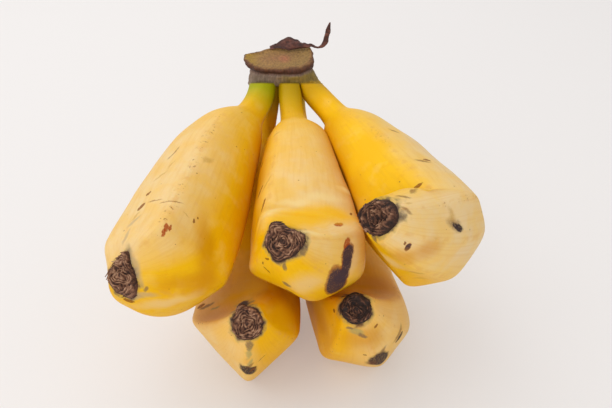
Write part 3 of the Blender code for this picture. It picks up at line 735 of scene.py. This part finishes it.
neighbour_balls = {name: balls_inside(banana) for name, banana in BANANAS.items()}
surfaces = {}
for number, (name, banana) in enumerate(BANANAS.items()):
    theta, rings, places = banana_surface(banana, POINTS_ROUND, RINGS_ALONG, RINGS_END)
    others = [balls for other, balls in neighbour_balls.items() if other != name]
    points = press(np.concatenate(rings), neighbour_balls[name], others, PRESSED_GAP)
    all_places = np.repeat(places, POINTS_ROUND)
    rough = np.concatenate([
        add_noise(points[i:i + POINTS_ROUND], LUMP_SIZE, LUMP_HEIGHT, LUMP_SEED + number)
        for i in range(0, len(points), POINTS_ROUND)])
    points = points + (rough - points) * grown("lumps", all_places)[:, None]
    # pressed faces meet in soft edges: each point moves towards its neighbours
    grid = points.reshape(-1, POINTS_ROUND, 3)
    for _ in range(SOFTENING_PASSES):
        mean = (np.roll(grid, 1, axis=1) + np.roll(grid, -1, axis=1)) / 4
        mean[1:-1] += (grid[:-2] + grid[2:]) / 4
        grid[1:-1] = grid[1:-1] * (1 - SOFTENING) + mean[1:-1] * SOFTENING
    points = grid.reshape(-1, 3)
    points[:, 2] = np.maximum(points[:, 2], 0.0)
    rings = points.reshape(-1, POINTS_ROUND, 3)
    scar = np.asarray(banana["scar"], float)
    quads = [(i * POINTS_ROUND + j, i * POINTS_ROUND + (j + 1) % POINTS_ROUND,
              (i + 1) * POINTS_ROUND + (j + 1) % POINTS_ROUND, (i + 1) * POINTS_ROUND + j)
             for i in range(len(rings) - 1) for j in range(POINTS_ROUND)]
    last = (len(rings) - 1) * POINTS_ROUND
    quads += [(last + j, last + (j + 1) % POINTS_ROUND, len(points)) for j in range(POINTS_ROUND)]
    surfaces[name] = BVHTree.FromPolygons([Vector(point) for point in points] + [Vector(scar)], quads)
    peel = peel_material(name, surfaces[name])
    piece = skin_over("peel_" + name, rings, rings[0].mean(axis=0), scar, peel)
    give_value(piece, "along", np.append(all_places, [0.0, places[-1]]))

    # how near each point is to a ridge
    ridge_angles = np.radians(np.asarray(banana["ridges"], float))
    apart = np.abs((theta[:, None] - ridge_angles[None] + math.pi) % (2 * math.pi) - math.pi).min(axis=1)
    body_radius = body_line(banana, np.linspace(0, 1, RINGS_ALONG))[1]
    round_radius = np.interp(places, places[:RINGS_ALONG], body_radius)
    ridge = np.exp(-(np.outer(round_radius, apart) / RIDGE_WIDTH) ** 2) * grown("ridge", places)[:, None]
    give_value(piece, "ridge", np.append(ridge.ravel(), [0.0, 0.0]))

    # how far it is outside the outline of the flower scar
    facing = unit(banana["facing"])
    top = unit(UP - facing * (UP @ facing))
    side = np.cross(facing, top)
    from_scar = points - scar
    angle = np.arctan2(from_scar @ side, from_scar @ top)
    to_end = np.hypot(from_scar @ side, from_scar @ top) - scar_reach(banana, angle)
    on_end = (from_scar @ facing > -SEAM_DEPTH) & (all_places > places[RINGS_ALONG - 1] - SEAM_MARGIN)
    to_end = np.where(on_end, to_end, FAR_FROM_SCAR)
    give_value(piece, "to_end", np.append(to_end, [FAR_FROM_SCAR, UNDER_SCAR]))

    # how much painted sheen makes it pale, and how much painted shade the next banana gives it
    _, _, _, sheen_angle, paleness = PEELS[name]
    sheen_side = np.clip(np.cos(theta - math.radians(sheen_angle)) * SHEEN_SPREAD + SHEEN_SHIFT, 0, 1) * paleness
    pale = np.outer(grown("pale", places), sheen_side)
    give_value(piece, "pale", np.append(pale.ravel(), [0.0, 0.0]))
    apart = np.min([nearness(points, other)[0] for other in others], axis=0)
    gap_shade = np.clip((SHADE_NEAR - apart) / SHADE_FADE, 0, 1) * grown("gap_shade", all_places)
    give_value(piece, "gap_shade", np.append(gap_shade, [0.0, 0.0]))

    # the peel laid flat: round it, then along it
    unwrapped = piece.data.uv_layers.new(name="peel")
    corner_points = np.zeros(len(piece.data.loops), int)
    piece.data.loops.foreach_get("vertex_index", corner_points)
    flat = np.stack([np.tile(theta * MAP_RADIUS, len(rings)), all_places * MM], axis=1)
    flat = np.concatenate([flat, [[0, 0], [0, places[-1] * MM]]])
    unwrapped.data.foreach_set("uv", flat[corner_points].astype(np.float32).ravel())
    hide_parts("banana_" + name)
    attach(piece, "root")

# Flower scars: the dried stump that each flower left on its banana's end. It is a
# raised rim round a dished middle, wrinkled in whorls, with torn fibres on it.
SCAR_ROUND = 120
SCAR_RINGS = 44
# share of the way out at which the innermost ring lies
SCAR_INNERMOST = 0.03
# share of the way out, height above the peel in millimetres
SCAR_PROFILE = (
    (0.0, 2.1), (0.14, 1.9), (0.30, 1.35), (0.46, 1.45), (0.64, 2.1), (0.80, 2.0), (0.90, 1.3),
    (1.0, -0.6))
# how far the stump leans to one side at its top, whose height follows
SCAR_LEAN = {
    "left": (0.0, 0.4, 1.6), "centre": (0.0, 0.0, 0.0), "right": (-1.8, -0.6, 0.0),
    "lower_left": (0.0, 0.0, 0.0), "lower_right": (0.0, 0.0, 0.0)}
SCAR_TOP = 2.3
# how deep the middle of its underside lies in the peel
SCAR_SINK = 0.6
# how far the stump may follow the peel down beside the banana's end
SCAR_DROP = 1.5
# the peel under a point is looked for from this height above it, this far down
LOOK_HEIGHT = 12
LOOK_DEPTH = 40.0
# how much darker each stump is drawn
SCAR_DARKENING = {"left": -0.12, "centre": 0.0, "right": 0.16, "lower_left": -0.12, "lower_right": 0.32}
# the whorls: their spacing, how far noise bends them, and how far they run inwards
WHORL_SPACING = 1.25
WHORL_BEND = 2.2
WHORL_TWIST = 0.2
# sizes of the bends, the lumps and the grain, and how far apart the stumps' noises lie
BEND_SIZE = 3.0
SCAR_LUMP_SIZE = 2.0
SCAR_GRAIN_SIZE = 0.8
NOISE_STEP = 9.0
# height of the whorls, the grain and the lumps, and how much each pales the stump: partly
# wear, partly painted highlight on high places and painted shade in low ones
WHORL_HEIGHT, WHORL_PALENESS = 0.20, 0.28
GRAIN_HEIGHT, GRAIN_PALENESS = 0.30, 0.40
LUMPS_HEIGHT, LUMPS_PALENESS = 0.45, 0.45
SCAR_PALENESS = 0.5
# how soon the relief sets in from the edge and from the middle
EDGE_RISE = 9
MIDDLE_RISE = 6


def set_stops(ramp, stops):
    """Sets the stops of a colour ramp, given as places and hex colours."""
    for element, (position, tint) in zip(ramp.elements, (stops[0], stops[-1])):
        element.position = position
        element.color = colour(tint)
    for position, tint in stops[1:-1]:
        ramp.elements.new(position).color = colour(tint)


def scar_material():
    """Dead flower tissue: dry, fibrous and matt, nearly black with brown crests, paler
    where it stands high and darker in its grooves: partly wear, partly painted highlight and shade.
    """
    material, tree, shader = start_material("dried flower scar", {"Roughness": 0.78, "IOR": 1.45})
    place = add_node(tree, "ShaderNodeTexCoord", output="Object")
    crest, darkening = (
        add_node(tree, "ShaderNodeAttribute", {"attribute_name": value}, output="Fac")
        for value in ("crest", "darkening"))
    grain = add_node(tree, "ShaderNodeTexNoise", None, {
        "Vector": place, "Scale": PER_METRE / 0.8, "Detail": 4.0, "Roughness": 0.65})
    patches = add_node(tree, "ShaderNodeTexNoise", None, {
        "Vector": place, "Scale": PER_METRE / 3.5, "Detail": 2.0})
    wear_and_shading = add_node(tree, "ShaderNodeMath", SUBTRACT, {0: crest, 1: darkening})
    for roughening in (grain, patches):
        wear_and_shading = add_node(tree, "ShaderNodeMath", MULTIPLY_ADD, {0: roughening, 1: 0.8, 2: wear_and_shading})
    wear_and_shading = add_node(tree, "ShaderNodeMapRange", None, {
        "Value": wear_and_shading, "From Min": 0.55, "From Max": 1.85})
    tones = add_node(tree, "ShaderNodeValToRGB", None, {"Fac": wear_and_shading})
    set_stops(tones.node.color_ramp, (
        (0.0, "#21140F"), (0.34, "#382117"), (0.58, "#643E2B"), (0.82, "#8E654A"), (1.0, "#AE8668")))
    tree.links.new(tones, shader.inputs["Base Color"])
    bumped = add_node(tree, "ShaderNodeBump", None, {
        "Height": grain, "Strength": 0.8, "Distance": 0.0004})
    tree.links.new(bumped, shader.inputs["Normal"])
    return material


def fibre_nodes(material):
    """Short bent fibres laid round a middle point, over the upper side of a mesh."""
    tree = bpy.data.node_groups.new("torn fibres", "GeometryNodeTree")
    tree.interface.new_socket("Mesh", in_out="INPUT", socket_type="NodeSocketGeometry")
    for label, kind in (
            ("Middle", "NodeSocketVector"), ("Fibres per square metre", "NodeSocketFloat"),
            ("Length", "NodeSocketFloat"), ("Thickness", "NodeSocketFloat"), ("Seed", "NodeSocketInt")):
        tree.interface.new_socket(label, in_out="INPUT", socket_type=kind)
    tree.interface.new_socket("Mesh", in_out="OUTPUT", socket_type="NodeSocketGeometry")
    given = add_node(tree, "NodeGroupInput").node.outputs

    # points spread over the relief, each turned to run round the middle
    crest = add_node(tree, "GeometryNodeInputNamedAttribute", {"data_type": "FLOAT"}, {"Name": "crest"})
    on_top = add_node(tree, "FunctionNodeCompare", {"operation": "GREATER_THAN"}, {0: crest, 1: 0.12})
    spread = add_node(tree, "GeometryNodeDistributePointsOnFaces", None, {
        "Mesh": given["Mesh"], "Selection": on_top, "Density": given["Fibres per square metre"],
        "Seed": given["Seed"]})
    position = add_node(tree, "GeometryNodeInputPosition")
    outward = add_node(tree, "ShaderNodeVectorMath", SUBTRACT, {0: position, 1: given["Middle"]})
    normal = spread.node.outputs["Normal"]
    around = add_node(tree, "ShaderNodeVectorMath", {"operation": "CROSS_PRODUCT"}, {
        0: normal, 1: outward})
    turned = add_node(tree, "FunctionNodeAlignRotationToVector", {"axis": "Z"}, {"Vector": normal})
    turned = add_node(tree, "FunctionNodeAlignRotationToVector", {"axis": "X", "pivot_axis": "Z"}, {
        "Rotation": turned, "Vector": around})

    # one fibre: an arc whose two ends lie a little inwards
    half, minus, inward = (
        add_node(tree, "ShaderNodeMath", MULTIPLY, {0: given["Length"], 1: share})
        for share in (0.5, -0.5, -0.12))
    start = add_node(tree, "ShaderNodeCombineXYZ", None, {"X": minus, "Y": inward})
    end = add_node(tree, "ShaderNodeCombineXYZ", None, {"X": half, "Y": inward})
    middle = add_node(tree, "ShaderNodeCombineXYZ", None, {"Z": given["Thickness"]})
    arc = add_node(tree, "GeometryNodeCurveQuadraticBezier", None, {
        "Resolution": 4, "Start": start, "Middle": middle, "End": end})
    profile = add_node(tree, "GeometryNodeCurvePrimitiveCircle", None, {
        "Resolution": 5, "Radius": given["Thickness"]})
    fibre = add_node(tree, "GeometryNodeCurveToMesh", None, {
        "Curve": arc, "Profile Curve": profile, "Fill Caps": True})

    # a fibre of its own length at each point
    length = add_node(tree, "FunctionNodeRandomValue", None, {2: 0.4, 3: 1.3, "Seed": given["Seed"]}, 1)
    laid = add_node(tree, "GeometryNodeInstanceOnPoints", None, {
        "Points": spread, "Instance": fibre, "Rotation": turned, "Scale": length})
    real = add_node(tree, "GeometryNodeRealizeInstances", None, {"Geometry": laid})
    finished = add_node(tree, "GeometryNodeSetMaterial", None, {"Geometry": real, "Material": material})
    add_node(tree, "NodeGroupOutput")
    tree.links.new(finished, tree.nodes[-1].inputs[0])
    return tree


def grow_from(name, base, tree, values):
    """Runs a node tree over a mesh with the given inputs and keeps the result as a plain mesh."""
    modifier = base.modifiers.new("grown", "NODES")
    modifier.node_group = tree
    for item in tree.interface.items_tree:
        if item.name in values:
            modifier[item.identifier] = values[item.name]
    depsgraph = bpy.context.evaluated_depsgraph_get()
    data = bpy.data.meshes.new_from_object(base.evaluated_get(depsgraph), depsgraph=depsgraph)
    data.name = name
    base.modifiers.remove(modifier)
    grown_piece = bpy.data.objects.new(name, data)
    bpy.context.scene.collection.objects.link(grown_piece)
    return grown_piece


scar_tissue = scar_material()
torn_fibres = fibre_nodes(scar_tissue)
theta = np.linspace(0, 2 * math.pi, SCAR_ROUND, endpoint=False)
for number, (name, banana) in enumerate(BANANAS.items()):
    facing = unit(banana["facing"])
    foot = np.asarray(banana["scar"], float)
    lean = np.asarray(SCAR_LEAN[name])
    top = unit(UP - facing * (UP @ facing))
    side = np.cross(facing, top)
    reach = scar_reach(banana, theta)
    rings = []
    crests = []
    for out in np.linspace(1.0, SCAR_INNERMOST, SCAR_RINGS):
        height = smooth_profile(SCAR_PROFILE, np.array([out]))[0]
        on_top = min(1.0, (1.0 - out) * EDGE_RISE) * min(1.0, out * MIDDLE_RISE)
        ring_points = []
        for j in range(SCAR_ROUND):
            flat = foot + reach[j] * out * (math.cos(theta[j]) * top + math.sin(theta[j]) * side)
            above = Vector(flat + facing * LOOK_HEIGHT)
            hit = surfaces[name].ray_cast(above, Vector(-facing), LOOK_DEPTH)[0]
            depth = SCAR_DROP if hit is None else min(SCAR_DROP, (flat - np.array(hit)) @ facing)
            base = flat - facing * depth
            seeded = Vector(flat) + Vector((number * NOISE_STEP, 0, 0))
            bend = noise.noise(seeded / BEND_SIZE) * WHORL_BEND
            along_whorls = reach[j] * out + bend + theta[j] * WHORL_TWIST
            whorl = math.sin(2 * math.pi * along_whorls / WHORL_SPACING)
            grain = noise.noise(seeded / SCAR_GRAIN_SIZE)
            lumps = noise.noise(seeded / SCAR_LUMP_SIZE)
            relief = WHORL_HEIGHT * whorl + GRAIN_HEIGHT * grain + LUMPS_HEIGHT * lumps
            # paler where the relief stands high: partly wear, partly painted highlight and shade
            paleness = (SCAR_PALENESS + WHORL_PALENESS * whorl + LUMPS_PALENESS * lumps
                        + GRAIN_PALENESS * grain)
            lift = height + relief * on_top
            ring_points.append(base + facing * lift + lean * max(lift, 0.0) / SCAR_TOP)
            crests.append(max(0.0, paleness * on_top))
        rings.append(np.array(ring_points))
    underside = foot - facing * SCAR_SINK
    piece = skin_over("flower_scar_" + name, rings, underside, rings[-1].mean(axis=0), scar_tissue)
    give_value(piece, "crest", np.append(crests, [0.0, SCAR_PALENESS]))
    give_value(piece, "darkening", np.full(len(piece.data.vertices), SCAR_DARKENING[name]))
    fibres = grow_from("torn_fibres_" + name, piece, torn_fibres, {
        "Middle": tuple((foot - MIDDLE) * MM), "Fibres per square metre": 450000.0,
        "Length": 0.0026, "Thickness": 0.00013, "Seed": number + 1})
    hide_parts("scar_" + name)
    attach(piece, "root")
    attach(fibres, "root")

# Crown: the dried pad that the stalks grow from. A knife left its slanted cut
# face, which has browned and shrunk inside a dark hard rim over a grey collar.
CROWN_MIDDLE = (-11.2, 61.0)
CROWN_LEAN = -1.3
CROWN_SQUARENESS = 2.7
CUT_HEIGHT = 106.0
CUT_SLOPE = 0.30
# the back edge of the cut face runs aslant: its place behind the middle, its slope
BACK_EDGE = 68.2
BACK_EDGE_SLOPE = 0.39
# how much further back it lies at the underside, and how far it moves in for each
# millimetre that a ring is less deep than the fullest one
BACK_FLARE = 8
BACK_ROUNDING = 0.9
FULL_DEPTH = 11.6
CROWN_ROUND = 200
CROWN_RINGS = 96
# share of the way over it, level from underside to cut face, reach to the left and
# to the right, half depth
CROWN_PROFILE = (
    (0.0, -0.08, 9.0, 9.0, 5.5), (0.08, -0.08, 16.6, 17.6, 9.8), (0.13, 0.02, 17.3, 18.3, 10.9),
    (0.20, 0.22, 16.3, 16.8, 10.9), (0.28, 0.45, 15.7, 15.5, 10.9), (0.36, 0.60, 15.4, 15.0, 10.4),
    (0.43, 0.74, 16.6, 15.7, 11.2), (0.52, 0.9, 17.2, 16.3, 11.6), (0.56, 0.98, 16.9, 16.0, 11.3),
    (0.60, 1.0, 15.8, 15.0, 10.2), (0.66, 0.97, 14.4, 13.6, 8.8), (1.0, 0.95, 0.6, 0.6, 0.4))
# the collar's lower edge hangs unevenly over the stalks: where it is on the way over the
# crown, how wide a strip hangs, how far, and the size of the waves
COLLAR_EDGE = 0.10
COLLAR_STRIP = 0.08
COLLAR_HANG = 0.9
COLLAR_WAVE = 4.0
# dents from drying: size, height, seed
CROWN_DENTS = ((7.0, 0.9, 3.0), (1.8, 0.5, 8.0))
# colours from the underside over the collar and the rim to the middle of the cut face
CROWN_STOPS = (
    (0.0, "#4A3428"), (0.09, "#5E4434"), (0.14, "#84705C"), (0.32, "#836C5C"), (0.38, "#6A4E44"),
    (0.42, "#41221A"), (0.52, "#56301F"), (0.56, "#6B4424"), (0.60, "#8F6836"), (0.68, "#9A733C"),
    (0.84, "#946A3A"), (1.0, "#9C6844"))
# tints: from and to in X, from and to on the way over the crown, strength, colour. The
# first two are olive and yellow at the right of the collar, the third is at the left end
# of the cut face, and the last is faint and over the rest of it
CROWN_TINTS = (
    (-0.014, -0.004, 0.36, 0.28, 0.80, "#8A721C"), (-0.002, 0.006, 0.20, 0.15, 0.9, "#C69A08"),
    (-0.019, -0.027, 0.57, 0.61, 0.65, "#A88418"), (-0.016, -0.004, 0.62, 0.66, 0.3, "#86703A"))
# a reddish patch in the cut face: its middle and its half sizes in millimetres
RED_PATCH = (-10.2, 58.0, 107.5)
RED_PATCH_SIZE = (3.5, 4.0, 4.0)


def crown_point(level, x, y):
    """A point of the crown, at a level from its underside to its cut face."""
    under = UNDERSIDE_HEIGHT + UNDERSIDE_SLOPE * (y - CROWN_FRONT)
    cut = CUT_HEIGHT + CUT_SLOPE * (y - CROWN_FRONT)
    return (x, y, under + (cut - under) * level)


def crown_material():
    """Dried banana stalk: a tan fibrous cut face, a dark reddish rim and a grey-brown
    collar that is still olive at its right end."""
    material, tree, shader = start_material("dried crown", {"Roughness": 0.75})
    place = add_node(tree, "ShaderNodeTexCoord", output="Object")
    over = add_node(tree, "ShaderNodeAttribute", {"attribute_name": "over"}, output="Fac")
    clouds = add_node(tree, "ShaderNodeTexNoise", None, {
        "Vector": place, "Scale": PER_METRE / 5.0, "Detail": 4.0})
    squeezed = add_node(tree, "ShaderNodeMapping", None, {"Vector": place, "Scale": (1.0, 1.0, 0.12)})
    fibre = add_node(tree, "ShaderNodeTexNoise", None, {
        "Vector": squeezed, "Scale": PER_METRE / 0.9, "Detail": 4.0, "Roughness": 0.65})
    centred = add_node(tree, "ShaderNodeMath", SUBTRACT, {0: clouds, 1: 0.5})
    shaken = add_node(tree, "ShaderNodeMath", MULTIPLY_ADD, {0: centred, 1: 0.11, 2: over})
    tone = add_node(tree, "ShaderNodeValToRGB", None, {"Fac": shaken})
    set_stops(tone.node.color_ramp, CROWN_STOPS)
    across = add_node(tree, "ShaderNodeSeparateXYZ", None, {"Vector": place}, "X")
    for low, high, over_low, over_high, strength, tint in CROWN_TINTS:
        sideways = add_node(tree, "ShaderNodeMapRange", SMOOTH, {
            "Value": across, "From Min": low, "From Max": high})
        tone = tint_where(tree, tone, tint, shaken, over_low, over_high, 0.0, strength, [sideways])
    patch = add_node(tree, "ShaderNodeMapping", {"vector_type": "TEXTURE"}, {
        "Vector": place, "Location": Vector((np.array(RED_PATCH) - MIDDLE) * MM),
        "Scale": Vector(RED_PATCH_SIZE) * MM})
    depth = add_node(tree, "ShaderNodeTexGradient", {"gradient_type": "SPHERICAL"}, {
        "Vector": patch}, "Fac")
    amount = add_node(tree, "ShaderNodeMath", MULTIPLY, {0: depth, 1: 0.9})
    tone = add_node(tree, "ShaderNodeMix", TINTED, {0: amount, 6: tone, 7: colour("#B06A48")}, 2)
    streaked = add_node(tree, "ShaderNodeMapRange", None, {
        "Value": fibre, "From Min": 0.35, "From Max": 0.65, "To Min": 0.55, "To Max": 1.2})
    tone = add_node(tree, "ShaderNodeMix", {"data_type": "RGBA", "blend_type": "MULTIPLY"}, {
        0: 0.8, 6: tone, 7: streaked}, 2)
    tree.links.new(tone, shader.inputs["Base Color"])
    bumped = add_node(tree, "ShaderNodeBump", None, {
        "Height": fibre, "Strength": 0.7, "Distance": 0.0006})
    tree.links.new(bumped, shader.inputs["Normal"])
    return material


theta = np.linspace(0, 2 * math.pi, CROWN_ROUND, endpoint=False)
steps = np.linspace(0, 1, CROWN_RINGS)
levels, lefts, rights, half_depths = (
    smooth_profile([(station[0], station[k]) for station in CROWN_PROFILE], steps) for k in (1, 2, 3, 4))
power = 2 / CROWN_SQUARENESS
rings = []
for step, level, left, right, half_depth in zip(steps, levels, lefts, rights, half_depths):
    across = np.abs(np.cos(theta)) ** power * np.where(np.cos(theta) > 0, right, -left)
    x = CROWN_MIDDLE[0] + CROWN_LEAN * level + across
    y = CROWN_MIDDLE[1] + half_depth * np.sign(np.sin(theta)) * np.abs(np.sin(theta)) ** power
    limit = BACK_EDGE + BACK_EDGE_SLOPE * (x - CROWN_MIDDLE[0])
    limit = limit + (1 - level) * BACK_FLARE - (FULL_DEPTH - half_depth) * BACK_ROUNDING
    y = np.where(np.sin(theta) > 0, (y + limit - np.sqrt((y - limit) ** 2 + 1.0)) / 2, y)
    points = np.array([crown_point(level, px, py) for px, py in zip(x, y)])
    hang = max(0.0, 1 - abs(step - COLLAR_EDGE) / COLLAR_STRIP)
    wave = np.array([COLLAR_HANG * noise.noise(Vector((px / COLLAR_WAVE, 3.0, 0))) for px in x])
    points[:, 2] -= hang * wave
    for size, height, seed in CROWN_DENTS:
        points = add_noise(points, size, height, seed)
    rings.append(points)
crown = skin_over("crown_pad", rings, rings[0].mean(axis=0), rings[-1].mean(axis=0), crown_material())
give_value(crown, "over", np.append(np.repeat(steps, CROWN_ROUND), [0.0, 1.0]))
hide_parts("crown")
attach(crown, "root")

# Husk: a flap of dead skin left standing along the back of the cut face. It has
# dried dark, narrows to a strand past the crown's edge and curls up in a blade.
# Place along it, width, thickness, and how far its width leans up, in degrees
HUSK_STATIONS = (
    ((-17.5, 65.3, 110.9), 1.8, 0.9, 30), ((-12.5, 65.3, 112.1), 3.6, 1.5, 45),
    ((-6.0, 65.3, 112.9), 6.4, 1.9, 52), ((-0.5, 65.3, 111.9), 4.2, 1.7, 45),
    ((3.2, 65.5, 111.9), 1.8, 1.2, 20), ((6.2, 65.5, 111.0), 1.6, 0.9, 0),
    ((8.6, 65.5, 112.6), 1.5, 2.4, 0), ((10.2, 65.5, 117.0), 1.2, 2.3, 0),
    ((11.4, 65.5, 123.2), 0.7, 0.7, 0))
HUSK_ROUND = 48
HUSK_RINGS = 150
# how it crumpled as it dried: size of the folds, and their height across it and along it
CRUMPLE_SIZE = 2.6
CRUMPLE_HEIGHT = 0.9
CRUMPLE_SWAY = 0.5
# fine wrinkles, longer along the husk: their size and height
WRINKLE_SIZE = (1.0, 0.8, 0.8)
WRINKLE_HEIGHT = 0.25
# width from which on the husk crumples in full
CRUMPLED_WIDTH = 3.0


def husk_material():
    """Dead stalk skin: papery and reddish brown, nearly black in its folds."""
    material, tree, shader = start_material("dead stalk skin", {"Roughness": 0.7})
    place = add_node(tree, "ShaderNodeTexCoord", output="Object")
    stretched = add_node(tree, "ShaderNodeMapping", None, {"Vector": place, "Scale": (0.3, 1.0, 1.0)})
    streak = add_node(tree, "ShaderNodeTexNoise", None, {
        "Vector": stretched, "Scale": PER_METRE / 1.4, "Detail": 5.0})
    tones = add_node(tree, "ShaderNodeValToRGB", None, {"Fac": streak})
    set_stops(tones.node.color_ramp, ((0.32, "#2A1512"), (0.52, "#51291F"), (0.72, "#7A4A3C")))
    tree.links.new(tones, shader.inputs["Base Color"])
    bumped = add_node(tree, "ShaderNodeBump", None, {
        "Height": streak, "Strength": 0.7, "Distance": 0.0005})
    tree.links.new(bumped, shader.inputs["Normal"])
    return material


share = np.linspace(0, 1, HUSK_RINGS)
line = curve_through([station[0] for station in HUSK_STATIONS], share)
places = np.linspace(0, 1, len(HUSK_STATIONS))
widths, thicknesses, leans = (
    smooth_profile(list(zip(places, [station[k] for station in HUSK_STATIONS])), share) for k in (1, 2, 3))
theta = np.linspace(0, 2 * math.pi, HUSK_ROUND, endpoint=False)
directions = np.gradient(line, axis=0)
rings = []
for i in range(len(share)):
    along_husk = unit(directions[i])
    level = unit(np.array([0.0, 1.0, 0.0]) - along_husk * along_husk[1])
    raised = np.cross(along_husk, level)
    turn = math.radians(leans[i])
    across = level * math.cos(turn) + raised * math.sin(turn)
    thick = raised * math.cos(turn) - level * math.sin(turn)
    points = (line[i] + np.outer(np.cos(theta) * widths[i] / 2, across)
              + np.outer(np.sin(theta) * thicknesses[i] / 2, thick))
    crumple = np.array([noise.noise(Vector(point / CRUMPLE_SIZE)) for point in points])
    wrinkle = np.array([noise.noise(Vector(point / np.array(WRINKLE_SIZE))) for point in points])
    size = min(1.0, widths[i] / CRUMPLED_WIDTH)
    outward = np.outer((crumple * CRUMPLE_HEIGHT + wrinkle * WRINKLE_HEIGHT) * size, thick)
    rings.append(points + outward + np.outer(crumple * CRUMPLE_SWAY * size, across))
husk = skin_over("dead_husk", rings, rings[0].mean(axis=0), rings[-1].mean(axis=0), husk_material())
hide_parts("crown_husk")
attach(husk, "root")

# Surface and light: a plain pale board whose slight glow is painted light that lifts
# the shadows under the hand, three large soft lights, from the left, from above behind
# and from low in front, and a bright even room.
floor_mesh = bmesh.new()
bmesh.ops.create_grid(floor_mesh, x_segments=1, y_segments=1, size=4.0)
floor_data = bpy.data.meshes.new("pale_surface")
floor_mesh.to_mesh(floor_data)
floor_mesh.free()
floor = bpy.data.objects.new("pale_surface", floor_data)
# the board's glow is painted light, which brightens the shadows under and between the bananas
floor_material, _, _ = start_material("pale board with painted glow", {
    "Base Color": colour("#C9C5C2"), "Emission Color": colour("#FAF8FA"), "Emission Strength": 0.24,
    "Roughness": 0.8, "Specular IOR Level": 0.2})
floor_data.materials.append(floor_material)
bpy.context.scene.collection.objects.link(floor)


def soft_light(name, place, target, size, power):
    """A round white light of a given size in metres and power in watts, turned to a target."""
    data = bpy.data.lights.new(name, "AREA")
    data.shape = "DISK"
    data.size = size
    data.energy = power
    lamp = bpy.data.objects.new(name, data)
    lamp.location = place
    lamp.rotation_euler = (Vector(target) - Vector(place)).to_track_quat("-Z", "Y").to_euler()
    bpy.context.scene.collection.objects.link(lamp)


soft_light("key", (-0.7, -0.1, 1.1), (0, 0, 0.05), 1.5, 5.0)
soft_light("top", (-0.2, 0.8, 1.1), (0, 0, 0.05), 1.8, 6.0)
soft_light("front", (-0.25, -1.2, 0.5), (0, 0, 0.03), 1.0, 5.0)
room = bpy.data.worlds.new("bright room")
room.use_nodes = True
background = room.node_tree.nodes["Background"]
background.inputs["Color"].default_value = colour("#FFFFFF")
background.inputs["Strength"].default_value = 0.66
bpy.context.scene.world = room
bpy.context.scene.view_settings.view_transform = "Standard"
